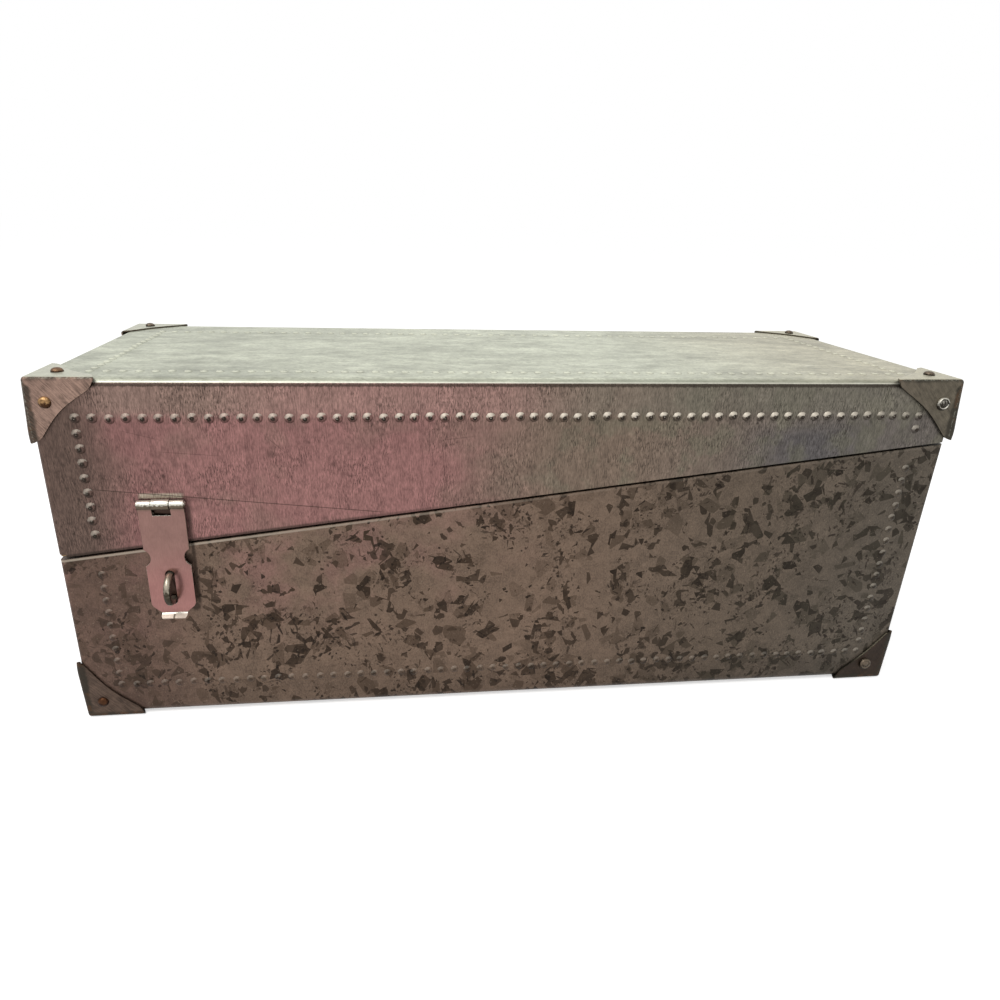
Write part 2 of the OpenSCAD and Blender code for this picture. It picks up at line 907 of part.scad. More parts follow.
// Outline of the strap, pin at the origin, foot towards -Y
module strap_outline() {
    h = strap_w / 2;
    e = strap_ease;
    foot = -strap_length;
    corner = foot + strap_corner_h;
    difference() {
        polygon([
            [-h, 0], [h, 0],
            [h, corner + e], [h - e, corner - e],
            [lip_w / 2, foot], [-lip_w / 2, foot],
            [-h + e, corner - e], [-h, corner + e]
        ]);
        for (s = [-1, 1]) translate([s * (h + waist_r - waist_depth), -waist_drop]) circle(waist_r);
        translate([0, -staple_drop]) {
            square([slot_w, slot_length - slot_w], center = true);
            for (s = [-1, 1]) translate([0, s * (slot_length - slot_w) / 2]) circle(slot_w / 2);
        }
    }
}

// Side view of the turned-out lip: a bend round the origin, then a flat tongue, rooted in the strap
module lip_profile() {
    outer = lip_bend_r + hasp_t;
    turn = 180 + lip_angle;
    along = lip_length * [sin(lip_angle), -cos(lip_angle)];
    polygon(concat(
        [[-lip_bend_r, lip_root], [-outer, lip_root]],
        arc(0, 0, outer, 180, turn),
        [outer * [cos(turn), sin(turn)] + along, lip_bend_r * [cos(turn), sin(turn)] + along],
        arc(0, 0, lip_bend_r, turn, 180)
    ));
}

// Front view of the lip, which narrows from the bend to its end
module lip_outline() {
    w = lip_w / 2;
    bend_foot = -(lip_bend_r + hasp_t) * sin(lip_angle);
    foot = bend_foot - lip_length * cos(lip_angle);
    polygon([
        [-w, lip_root], [w, lip_root], [w, bend_foot],
        [w - lip_taper, foot], [-w + lip_taper, foot], [-w, bend_foot]
    ]);
}

module strap_lip() {
    translate([0, strap_back - hasp_axis_out, -strap_length]) intersection() {
        translate([-lip_w / 2, lip_bend_r + hasp_t, 0]) rotate([90, 0, 90])
            linear_extrude(lip_w) lip_profile();
        translate([0, strap_w, 0]) rotate([90, 0, 0]) linear_extrude(2 * strap_w) lip_outline();
    }
}

// Where the strap leaves one of its knuckles: a ramp from the knuckle's front down to the flat plate
module strap_ramp(from, to) {
    plate_front = strap_back - hasp_axis_out + hasp_t;
    top = hasp_knuckle_r * [cos(ramp_angle), -sin(ramp_angle)];
    inner_top = (hasp_bore_r + hasp_knuckle_r) / 2 * [cos(ramp_angle), -sin(ramp_angle)];
    foot = [plate_front, ramp_foot_rise - knuckle_notch];
    sunk_foot = foot + (foot - top) * hasp_t / 2 / (top[0] - plate_front);
    translate([from, 0, 0]) rotate([90, 0, 90]) linear_extrude(to - from)
        polygon([top, sunk_foot, [sunk_foot[0], inner_top[1]], inner_top]);
}

module hasp_strap() {
    front = strap_back - hasp_axis_out;
    color(plated) placed() at_hasp() {
        difference() {
            union() {
                translate([0, front + hasp_t, 0]) rotate([90, 0, 0])
                    linear_extrude(hasp_t) strap_outline();
                knuckle(hasp_knuckle_r, hasp_bore_r, -strap_w / 2, -hasp_side_from);
                knuckle(hasp_knuckle_r, hasp_bore_r, hasp_side_from, strap_w / 2);
                strap_ramp(-strap_w / 2, -hasp_side_from);
                strap_ramp(hasp_side_from, strap_w / 2);
            }
            rotate([0, 90, 0]) cylinder(r = hasp_bore_r, h = 2 * strap_w, center = true);
            // Room for the leaf's knuckle, and the notch under it
            translate([-hasp_side_from, -strap_w / 2, -knuckle_notch])
                cube([2 * hasp_side_from, strap_w, strap_w]);
        }
        strap_lip();
    }
}

// Staple

module staple_screw_places() {
    across = staple_plate_w / 2 - screw_edge;
    up = staple_plate_h / 2 - screw_edge;
    for (sx = [-1, 1], sz = [-1, 1])
        on_front(hasp_x + sx * across, staple_z + sz * up)
            translate([0, 0, staple_plate_t]) children();
}

module staple_leg_holes() {
    hole_depth = staple_leg_depth + hole_end_gap;
    for (s = [-1, 1])
        on_front(hasp_x, staple_z + s * staple_bow_r)
            translate([0, 0, -hole_depth])
            cylinder(r = staple_r + hole_clearance, h = hole_depth + 2 * staple_plate_t);
}

// Rectangle with rounded corners, centred
module plate_outline(w, h) {
    r = plate_corner_r;
    square([w, h - 2 * r], center = true);
    square([w - 2 * r, h], center = true);
    for (sx = [-1, 1], sy = [-1, 1]) translate([sx * (w / 2 - r), sy * (h / 2 - r)]) circle(r);
}

module staple_plate() {
    color(plated) placed() difference() {
        on_front(hasp_x, staple_z) linear_extrude(staple_plate_t)
            plate_outline(staple_plate_w, staple_plate_h);
        base_holes();
    }
}

module padlock_staple() {
    color(plated) placed() on_front(hasp_x, staple_z) {
        for (s = [-1, 1])
            translate([0, s * staple_bow_r, -staple_leg_depth])
                cylinder(r = staple_r, h = staple_leg_depth + staple_straight);
        translate([0, 0, staple_straight]) rotate([90, 0, 90]) rotate_extrude(angle = 180)
            translate([staple_bow_r, 0]) circle(staple_r);
    }
}

module staple_screws() {
    color(plated) placed() staple_screw_places() screw(staple_plate_t + screw_length);
}

// Hinges, drawn at the pin: local X along the pin, local Y outwards, local Z up

module at_hinge(side) {
    translate([hinge_x, side * hinge_from_middle, hinge_z]) rotate([0, 0, -90]) children();
}

module hinge_screw_places(sz) {
    across = hinge_w / 2 - hinge_screw_in;
    up = hinge_leaf_h - screw_edge;
    for (side = [-1, 1], s = [-1, 1])
        on_right(side * hinge_from_middle + s * across, hinge_z + sz * up)
            translate([0, 0, hinge_t]) children();
}

// Flat of a leaf, seen from outside, above the pin; it starts clear of the other leaf's knuckles
module hinge_flat() {
    low = hinge_knuckle_r + knuckle_gap;
    translate([-hinge_w / 2, -hinge_axis_out, low]) cube([hinge_w, hinge_t, hinge_leaf_h - low]);
}

// Strip of a leaf from x0 to x1, which runs up to the pin and ends in a knuckle
module hinge_web(x0, x1) {
    difference() {
        translate([x0, -hinge_axis_out, 0]) cube([x1 - x0, hinge_t, hinge_leaf_h]);
        rotate([0, 90, 0]) cylinder(r = hinge_bore_r, h = 2 * hinge_w, center = true);
    }
    knuckle(hinge_knuckle_r, hinge_bore_r, x0, x1);
}

module hinge_lid_leaf(side) {
    color(plated) placed() difference() {
        at_hinge(side) {
            hinge_flat();
            hinge_web(-hinge_mid_half, hinge_mid_half);
        }
        lid_holes();
    }
}

module hinge_base_leaf(side) {
    color(plated) placed() difference() {
        at_hinge(side) mirror([0, 0, 1]) {
            hinge_flat();
            hinge_web(-hinge_w / 2, -hinge_side_from);
            hinge_web(hinge_side_from, hinge_w / 2);
        }
        base_holes();
    }
}

module hinge_pin(side) {
    color(plated) placed() at_hinge(side) rotate([0, 90, 0])
        cylinder(d = hinge_pin_d, h = hinge_w + 2 * hinge_pin_end, center = true);
}

module hinge_screws(sz) {
    color(plated) placed() hinge_screw_places(sz) screw(hinge_t + screw_length);
}

base_front_board();
base_back_board();
base_left_board();
base_right_board();
base_floor_board();
base_front_sheet();
base_back_sheet();
base_left_sheet();
base_right_sheet();
base_underside_sheet();
corner_cap(-1, -1, -1);  // base_cap_front_left
corner_cap(1, -1, -1);  // base_cap_front_right
corner_cap(-1, 1, -1);  // base_cap_back_left
corner_cap(1, 1, -1);  // base_cap_back_right
cap_nails(-1);  // base_cap_nails
staple_plate();
padlock_staple();
staple_screws();
hinge_base_leaf(-1);  // hinge_base_leaf_front
hinge_base_leaf(1);  // hinge_base_leaf_back
hinge_pin(-1);  // hinge_pin_front
hinge_pin(1);  // hinge_pin_back
hinge_screws(-1);  // hinge_base_screws
lid_top_board();
lid_front_board();
lid_back_board();
lid_left_board();
lid_right_board();
lid_top_sheet();
lid_front_sheet();
lid_back_sheet();
lid_left_sheet();
lid_right_sheet();
corner_cap(-1, -1, 1);  // lid_cap_front_left
corner_cap(1, -1, 1);  // lid_cap_front_right
corner_cap(-1, 1, 1);  // lid_cap_back_left
corner_cap(1, 1, 1);  // lid_cap_back_right
cap_nails(1);  // lid_cap_nails
hinge_lid_leaf(-1);  // hinge_lid_leaf_front
hinge_lid_leaf(1);  // hinge_lid_leaf_back
hinge_screws(1);  // hinge_lid_screws
hasp_leaf();
hasp_leaf_screws();
hasp_pin();
hasp_strap();
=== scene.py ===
import bmesh
import bpy
import math
from mathutils import Matrix, Vector


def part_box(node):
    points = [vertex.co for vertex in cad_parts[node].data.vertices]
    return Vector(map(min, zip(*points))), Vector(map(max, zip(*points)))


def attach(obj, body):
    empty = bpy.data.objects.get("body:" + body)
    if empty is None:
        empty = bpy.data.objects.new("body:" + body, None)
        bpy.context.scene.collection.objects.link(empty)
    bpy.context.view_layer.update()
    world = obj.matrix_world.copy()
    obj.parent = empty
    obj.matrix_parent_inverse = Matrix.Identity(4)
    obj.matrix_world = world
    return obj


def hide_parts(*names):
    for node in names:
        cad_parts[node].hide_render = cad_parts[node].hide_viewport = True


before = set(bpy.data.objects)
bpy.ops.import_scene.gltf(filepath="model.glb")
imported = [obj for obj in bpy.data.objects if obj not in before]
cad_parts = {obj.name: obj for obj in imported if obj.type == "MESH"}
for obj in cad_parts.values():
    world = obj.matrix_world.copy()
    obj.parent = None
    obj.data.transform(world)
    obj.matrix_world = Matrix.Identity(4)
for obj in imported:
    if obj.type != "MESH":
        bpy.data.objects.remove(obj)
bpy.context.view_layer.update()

# Lengths are in millimetres where nothing else is said, and MM turns them into metres.

MM = 0.001

# Thickness of the sheets, and how far the corner caps stand out of them
SHEET = 0.6
CAP = 1.0


def node_box(node):
    low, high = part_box(node)
    return low / MM, high / MM


# The outside of the sheets
LID_LOW, LID_HIGH = node_box("lid_top_board")
LEFT = LID_LOW.x - SHEET
RIGHT = LID_HIGH.x + SHEET
FRONT = LID_LOW.y - SHEET
BACK = LID_HIGH.y + SHEET
BOTTOM = node_box("base_floor_board")[0].z - SHEET
TOP = LID_HIGH.z + SHEET
MIDDLE_X = (LEFT + RIGHT) / 2
MIDDLE_Y = (FRONT + BACK) / 2
MIDDLE_Z = (BOTTOM + TOP) / 2
LENGTH = RIGHT - LEFT
DEPTH = BACK - FRONT
HEIGHT = TOP - BOTTOM

# The slanted rim of the base, from the inner end of its left sheet to the right end of its front
RIM_START = node_box("base_left_sheet")[1]
RIM_END = node_box("base_front_sheet")[1]
RIM_SLOPE = (RIM_END.z - RIM_START.z) / (RIGHT - RIM_START.x)
RIM_LEFT = RIM_START.z - RIM_SLOPE * (RIM_START.x - LEFT)

# Height of the row of dimples along the top of the lid's front
LID_ROW = TOP - 20.8

# Hasp
STRAP_LOW, STRAP_HIGH = node_box("hasp_strap")
PLATE_FRONT = node_box("staple_plate")[0].y
PIN_LOW, PIN_HIGH = node_box("hasp_pin")
HASP_X = (STRAP_LOW.x + STRAP_HIGH.x) / 2
PIN_Z = (PIN_LOW.z + PIN_HIGH.z) / 2
PIN_Y = (PIN_LOW.y + PIN_HIGH.y) / 2


# Shader expressions


class Value:
    """A shader output that Python expressions turn into Math nodes."""

    def __init__(self, finish, output):
        self.finish = finish
        self.output = output

    def __add__(self, other):
        return self.finish.math("ADD", self, other)

    def __radd__(self, other):
        return self.finish.math("ADD", other, self)

    def __sub__(self, other):
        return self.finish.math("SUBTRACT", self, other)

    def __rsub__(self, other):
        return self.finish.math("SUBTRACT", other, self)

    def __mul__(self, other):
        return self.finish.math("MULTIPLY", self, other)

    def __rmul__(self, other):
        return self.finish.math("MULTIPLY", other, self)

    def __abs__(self):
        return self.finish.math("ABSOLUTE", self)


class Finish:
    """A material in the making. Lengths inside it are millimetres in the object's own coordinates."""

    def __init__(self, name, data=None):
        self.data = data or bpy.data.materials.new(name)
        self.data.use_nodes = True
        self.tree = self.data.node_tree
        self.tree.nodes.clear()

    def node(self, kind, settings=None, sockets=None, output=0):
        """One node: its settings first, then the values or links of its sockets."""
        made = self.tree.nodes.new(kind)
        for name, value in (settings or {}).items():
            setattr(made, name, value)
        for key, value in (sockets or {}).items():
            socket = made.inputs[key]
            if isinstance(value, Value):
                self.tree.links.new(value.output, socket)
            elif socket.type == "RGBA":
                socket.default_value = (*value[:3], 1.0)
            else:
                socket.default_value = value
        return Value(self, made.outputs[output]) if made.outputs else None

    def math(self, operation, *values):
        return self.node("ShaderNodeMath", {"operation": operation}, dict(enumerate(values)))

    def least(self, first, second):
        return self.math("MINIMUM", first, second)

    def most(self, first, second):
        return self.math("MAXIMUM", first, second)

    def scaled(self, vector, factor):
        """A vector or colour times a number."""
        sockets = {"Vector": vector, "Scale": factor}
        return self.node("ShaderNodeVectorMath", {"operation": "SCALE"}, sockets)

    def place(self):
        """Object coordinates in millimetres."""
        return self.scaled(self.node("ShaderNodeTexCoord", output="Object"), 1 / MM)

    def facing(self):
        """The way the surface faces, in the object's own directions."""
        return self.node("ShaderNodeTexCoord", output="Normal")

    def axes(self, vector):
        outputs = self.node("ShaderNodeSeparateXYZ", None, {0: vector}).output.node.outputs
        return [Value(self, output) for output in outputs]

    def grains(self, spot, size, turn=(0, 0, 0), shift=(0, 0, 0)):
        """Coordinates counted in grains: size is a grain's size along each axis, turned by turn."""
        sizes = (size, size, size) if isinstance(size, (int, float)) else size
        sockets = {"Vector": spot, "Location": shift, "Scale": sizes}
        sockets["Rotation"] = [math.radians(angle) for angle in turn]
        return self.node("ShaderNodeMapping", {"vector_type": "TEXTURE"}, sockets)

    def noise(self, spot, size, detail, rough, turn=(0, 0, 0), shift=(0, 0, 0)):
        sockets = {"Scale": 1.0, "Detail": detail, "Roughness": rough}
        sockets["Vector"] = self.grains(spot, size, turn, shift)
        return self.node("ShaderNodeTexNoise", None, sockets, "Fac")

    def cells(self, spot, size, shift):
        """Three random numbers for each cell of a Voronoi pattern, as a colour."""
        sockets = {"Vector": self.grains(spot, size, shift=shift), "Scale": 1.0}
        return self.node("ShaderNodeTexVoronoi", {"feature": "F1"}, sockets, "Color")

    def step(self, value, low, high):
        """0 at low, 1 at high, smooth between and level beyond; low may be the larger one."""
        settings = {"interpolation_type": "SMOOTHSTEP", "clamp": True}
        sockets = {"Value": value, "From Min": low, "From Max": high}
        if low > high:
            sockets = {"Value": value, "From Min": high, "From Max": low}
            sockets.update({"To Min": 1.0, "To Max": 0.0})
        return self.node("ShaderNodeMapRange", settings, sockets)

    def band(self, value, low, high, soft):
        """1 between low and high, 0 outside, with soft edges."""
        return self.step(value, low - soft, low + soft) * self.step(value, high + soft, high - soft)

    def mix(self, amount, first, second):
        settings = {"data_type": "RGBA", "clamp_factor": True}
        return self.node("ShaderNodeMix", settings, {0: amount, 6: first, 7: second}, 2)

    def bump(self, height, depth, normal=None):
        """Relief of depth millimetres from a height of 0 to 1, on top of the relief in normal."""
        sockets = {"Height": height, "Distance": depth * MM, "Strength": 1.0}
        if normal is not None:
            sockets["Normal"] = normal
        return self.node("ShaderNodeBump", None, sockets)

    def surface(self, colour, roughness, normal, metallic, specular=0.5):
        sockets = {"Base Color": colour, "Roughness": roughness, "Normal": normal}
        sockets.update({"Metallic": metallic, "Specular IOR Level": specular})
        shader = self.node("ShaderNodeBsdfPrincipled", None, sockets)
        self.node("ShaderNodeOutputMaterial", None, {"Surface": shader})
        return self.data


# Camera, floor and lights

CAMERA_SPOT = (-77.5, -439.8, 286.0)
CAMERA_TURN = (69.21, -1.64, -6.53)
CAMERA_LENS = 24.88
CAMERA_SENSOR = 36.0
CAMERA_SHIFT = (0.0322, -0.0224)
CAMERA_NEAR = 10.0

# The world's light on the object, where 1 is the white background that the camera sees
AMBIENT = 0.5

# Light added to the floor for the rays that show it, so that it is white away from the shadow
FLOOR_LIFT = 0.55
FLOOR_TONE = (0.9, 0.9, 0.9)
FLOOR_SIZE = 30000.0
FLOOR_DROP = 0.1
WHITE = (1.0, 1.0, 1.0)

# The lamps: where each stands, what it faces and its size, all in metres, and its watts
SOFTBOXES = {
    "high_softbox": ((-0.6, -0.6, 1.4), (0, 0, 0.1), (1.0, 0.7), 11.0),
    "back_softbox": ((0.4, 0.9, 1.5), (0, 0, 0.15), (1.2, 0.7), 2.5),
}


def set_camera():
    data = bpy.data.cameras.new("camera")
    data.lens = CAMERA_LENS
    data.sensor_width = CAMERA_SENSOR
    data.shift_x, data.shift_y = CAMERA_SHIFT
    data.clip_start = CAMERA_NEAR * MM
    camera = bpy.data.objects.new("camera", data)
    camera.location = Vector(CAMERA_SPOT) * MM
    camera.rotation_euler = [math.radians(angle) for angle in CAMERA_TURN]
    bpy.context.scene.collection.objects.link(camera)
    bpy.context.scene.camera = camera


def seen_rays(finish):
    """1 for the rays that show the background: camera, glossy and transmission rays."""
    rays = ["Is Camera Ray", "Is Glossy Ray", "Is Transmission Ray"]
    camera, glossy, through = [finish.node("ShaderNodeLightPath", output=ray) for ray in rays]
    return finish.most(finish.most(camera, glossy), through)


def set_world():
    bpy.context.scene.view_settings.view_transform = "Standard"
    world = bpy.data.worlds.new("studio")
    bpy.context.scene.world = world
    sky = Finish("studio", world)
    strength = AMBIENT + (1.0 - AMBIENT) * seen_rays(sky)
    light = sky.node("ShaderNodeBackground", None, {"Color": WHITE, "Strength": strength})
    sky.node("ShaderNodeOutputWorld", None, {"Surface": light})


def floor_finish():
    finish = Finish("pale_floor")
    matt = finish.node("ShaderNodeBsdfDiffuse", None, {"Color": FLOOR_TONE})
    sockets = {"Color": WHITE, "Strength": FLOOR_LIFT * seen_rays(finish)}
    lift = finish.node("ShaderNodeEmission", None, sockets)
    both = finish.node("ShaderNodeAddShader", None, {0: matt, 1: lift})
    finish.node("ShaderNodeOutputMaterial", None, {"Surface": both})
    return finish.data


def set_floor():
    spot = (0, 0, -FLOOR_DROP * MM)
    bpy.ops.mesh.primitive_plane_add(size=FLOOR_SIZE * MM, location=spot)
    floor = bpy.context.object
    floor.name = "floor"
    floor.data.materials.append(floor_finish())


def soft_light(name, spot, target, size, watts):
    """A rectangular lamp at spot that faces target."""
    data = bpy.data.lights.new(name, "AREA")
    data.shape = "RECTANGLE"
    data.size, data.size_y = size
    data.energy = watts
    light = bpy.data.objects.new(name, data)
    light.location = spot
    light.rotation_euler = (Vector(target) - Vector(spot)).to_track_quat("-Z", "Y").to_euler()
    bpy.context.scene.collection.objects.link(light)


def set_lights():
    for name, lamp in SOFTBOXES.items():
        soft_light(name, *lamp)


# Shared by several finishes

# Painted highlight on the lit top parts of the dimples
DIMPLE_HIGHLIGHT = (0.64, 0.58, 0.49)
# Dark of real flecks, smudges and scratches, and of painted shade and shadow
MARK_AND_SHADE_DARK = (0.026, 0.018, 0.013)


def on_front(finish, y):
    """1 on the front sheets, 0 on the rest."""
    return finish.step(y, FRONT + 4, FRONT + 2)


def over_rim(x, z):
    """How far a point lies above the slanted rim of the base."""
    return z - (x - LEFT) * RIM_SLOPE - RIM_LEFT


def beside_strap(finish, x, y):
    """1 along the right edge of the strap, where its shadow falls."""
    return finish.band(x, STRAP_HIGH.x + 0.2, STRAP_HIGH.x + 2.2, 0.7) * on_front(finish, y)


def out_of_sides(finish, x, y):
    """How far a point stands out of the flats of the four sides."""
    return finish.most(abs(x - MIDDLE_X) - LENGTH / 2, abs(y - MIDDLE_Y) - DEPTH / 2)


def dimple_parts(finish, spot):
    """Masks of a side's dimples: the lit top part that takes a painted highlight, the spot under the
    middle that takes painted shade, and all of it.
    """
    x, y, z = finish.axes(spot)
    face_x, face_y, face_z = finish.axes(finish.facing())
    out = finish.most(out_of_sides(finish, x, y), z - TOP)
    raised = finish.step(out, 0.02, 0.12)
    chips = finish.noise(spot, 1.2, 2, 0.6) - 0.5
    aside = finish.least(abs(face_x), abs(face_y))
    below = face_z + 0.04 + 0.3 * chips
    dimple_shade_spot = finish.step(aside * aside + below * below, 0.24, 0.08)
    lit = face_z - 0.45 * face_x * abs(face_y) + 0.85 * chips
    dimple_highlight = finish.step(lit, 0.12, 0.42) * finish.step(face_z, 0.82, 0.76)
    return raised * dimple_highlight, raised * dimple_shade_spot, raised


# Finish of the lid's sheets

# Painted rosy reflection on the front of the lid
PINK_REFLECTION = (0.25, 0.125, 0.115)
END_BROWN = (0.13, 0.085, 0.068)
GREY_BROWN = (0.175, 0.128, 0.096)
COOL_GREY = (0.124, 0.108, 0.095)
BLUE_GREY = (0.068, 0.067, 0.075)
GREENISH = (0.135, 0.128, 0.09)
STRIP_LEFT = (0.24, 0.165, 0.135)
STRIP_RIGHT = (0.155, 0.142, 0.11)
STRIP_ROSY = (0.33, 0.19, 0.168)
# Tones of the top, made pale by painted light from above; the worn tone also serves as painted
# highlight and the dark tone as painted shade
TOP_PALE_LIT = (0.48, 0.495, 0.4)
TOP_WARM_LIT = (0.46, 0.435, 0.33)
TOP_DARK_AND_SHADE = (0.24, 0.24, 0.19)
TOP_WORN_AND_HIGHLIGHT = (0.78, 0.78, 0.66)
# Painted highlight along the ridge of the lid's top bend
FOLD_HIGHLIGHT = (0.74, 0.72, 0.62)
# Painted reflection of the hasp's barrel on the lid over it
BARREL_REFLECTION_TONE = (0.5, 0.47, 0.36)

# Marks on the lid's front, each point an (x, z): a smudge, the long scratch and the short ones
SMUDGE = (LEFT + 116, 164)
LONG_SCRATCH = ((LEFT + 22, 145.5), (LEFT + 182, 128.6))
SHORT_SCRATCHES = [
    ((LEFT + 40, 178), (LEFT + 66, 171)),
    ((LEFT + 58, 166), (LEFT + 95, 163)),
    ((LEFT + 112, 176), (LEFT + 131, 158)),
    ((LEFT + 205, 171), (LEFT + 232, 174)),
]


def scratch(finish, x, z, start, end, width):
    """1 along a thin line on the front, from start to end, each an (x, z)."""
    run = Vector((end[0] - start[0], end[1] - start[1]))
    way = run.normalized()
    along = (x - start[0]) * way.x + (z - start[1]) * way.y
    off = (z - start[1]) * way.x - (x - start[0]) * way.y
    ends = finish.step(along, 0.0, 6.0) * finish.step(along, run.length, run.length - 15.0)
    return finish.step(abs(off), width, width * 0.3) * ends


def strip_over_row(finish, x, z, clouds):
    """How strong the lighter strip between the row of dimples and the top is, and its tone."""
    strip = finish.mix(finish.step(x, MIDDLE_X - 40, MIDDLE_X + 110), STRIP_LEFT, STRIP_RIGHT)
    strip = finish.mix(finish.band(x, LEFT + 110, MIDDLE_X, 30), strip, STRIP_ROSY)
    over_row = finish.step(z, LID_ROW - 3, LID_ROW + 5) * finish.step(x, LEFT + 18, LEFT + 40)
    return over_row * (0.4 + 0.5 * clouds), strip


def tarnish_and_reflection(finish, spot):
    """The tones of the lid's sides, from brown and a painted rosy reflection at the left to blue and
    grey at the right.
    """
    x, y, z = finish.axes(spot)
    clouds = finish.noise(spot, 42, 3, 0.55)
    mottle = finish.noise(spot, (9, 9, 14), 3, 0.6, shift=(5, 0, 3))
    near_front = finish.step(y, FRONT + 60, FRONT + 10)
    tone = finish.mix(finish.step(x, LEFT + 20, LEFT + 50), END_BROWN, GREY_BROWN)
    tone = finish.mix(finish.step(x, MIDDLE_X + 40, RIGHT - 50), tone, COOL_GREY)
    # Painted rosy reflection from the left end to the middle of the front, stronger below the row of
    # dimples
    rosy_reflection = finish.step(x, LEFT + 16, LEFT + 46) * finish.step(x, MIDDLE_X + 25, MIDDLE_X - 75)
    rosy_reflection = rosy_reflection * near_front * (0.72 + 0.5 * finish.step(clouds, 0.35, 0.62))
    rosy_reflection = rosy_reflection * (0.5 + 0.5 * finish.step(z, LID_ROW + 8, LID_ROW - 2))
    tone = finish.mix(rosy_reflection, tone, PINK_REFLECTION)
    tone = finish.scaled(tone, 0.84 + 0.16 * finish.step(x, LEFT + 35, LEFT + 80))
    blue = finish.band(x, RIGHT - 115, RIGHT - 60, 25) * finish.step(z, LID_ROW, LID_ROW - 14)
    tone = finish.mix(blue * near_front * 0.6, tone, BLUE_GREY)
    green = finish.step(finish.noise(spot, 21, 3, 0.6, shift=(2, 6, 8)), 0.46, 0.62)
    green = green * finish.step(x, MIDDLE_X - 60, MIDDLE_X + 60)
    tone = finish.mix(green * 0.5, tone, GREENISH)
    amount, strip = strip_over_row(finish, x, z, clouds)
    tone = finish.mix(amount, tone, strip)
    return finish.scaled(tone, 0.84 + 0.22 * clouds + 0.14 * mottle)


def brushed_grain(finish, spot, tone):
    """The upright grain of the lid's sides and the dark flecks in it."""
    grain = finish.step(finish.noise(spot, (0.6, 0.6, 3.2), 2, 0.6), 0.3, 0.7)
    streaks = finish.noise(spot, (1.3, 1.3, 15), 2, 0.5, shift=(3, 7, 1))
    blotches = finish.noise(spot, (5, 5, 8), 3, 0.6, shift=(2, 9, 6))
    patches = finish.step(finish.noise(spot, 24, 3, 0.6, shift=(11, 0, 4)), 0.42, 0.64)
    deep = 0.46 + 0.44 * patches
    tone = finish.scaled(tone, 0.3 + deep * (grain - 0.5) + 0.6 * streaks + 0.8 * blotches)
    flecks = finish.noise(spot, (0.62, 0.62, 2.2), 2, 0.6, shift=(1, 2, 9))
    flecks = finish.step(flecks, 0.55, 0.66) * (0.3 + 0.7 * patches)
    return finish.mix(flecks * 0.7, tone, MARK_AND_SHADE_DARK), grain, blotches


def front_marks_and_painted_light(finish, spot, tone):
    """Grain of the lid's sides, and what marks its front: smudge and scratches, with a painted
    reflection of the hasp's barrel, the strap's painted shadow and a painted shadow along the gap over
    the base.
    """
    x, y, z = finish.axes(spot)
    tone, grain, blotches = brushed_grain(finish, spot, tone)
    front = on_front(finish, y)
    across, up = x - SMUDGE[0], z - SMUDGE[1]
    smudge = finish.step(across * across + up * up, 9.0, 1.0) * front
    tone = finish.mix(smudge * blotches, tone, MARK_AND_SHADE_DARK)
    # Painted reflection of the hasp's barrel, a band over it as wide as the strap
    barrel_reflection = finish.band(x, STRAP_LOW.x + 1, STRAP_HIGH.x - 1, 1.5)
    barrel_reflection = barrel_reflection * finish.band(z, PIN_Z + 2.6, PIN_Z + 5.4, 0.7) * front
    tone = finish.mix(barrel_reflection * (0.25 + 0.6 * grain), tone, BARREL_REFLECTION_TONE)
    shadow = beside_strap(finish, x, y) * finish.step(z, PIN_Z, PIN_Z - 3)
    tone = finish.mix(shadow * 0.6, tone, MARK_AND_SHADE_DARK)
    # Painted shadow of the gap along the lid's lower edge, over its left part
    rim_painted_light = finish.step(over_rim(x, z), 3.3, 2.0) * finish.step(x, MIDDLE_X + 40, LEFT + 100)
    tone = finish.mix(rim_painted_light * front * 0.75, tone, MARK_AND_SHADE_DARK)
    marks = scratch(finish, x, z, *LONG_SCRATCH, 0.42)
    for start, end in SHORT_SCRATCHES:
        marks = finish.most(marks, scratch(finish, x, z, start, end, 0.3) * 0.6)
    return finish.mix(marks * front * 0.62, tone, MARK_AND_SHADE_DARK)


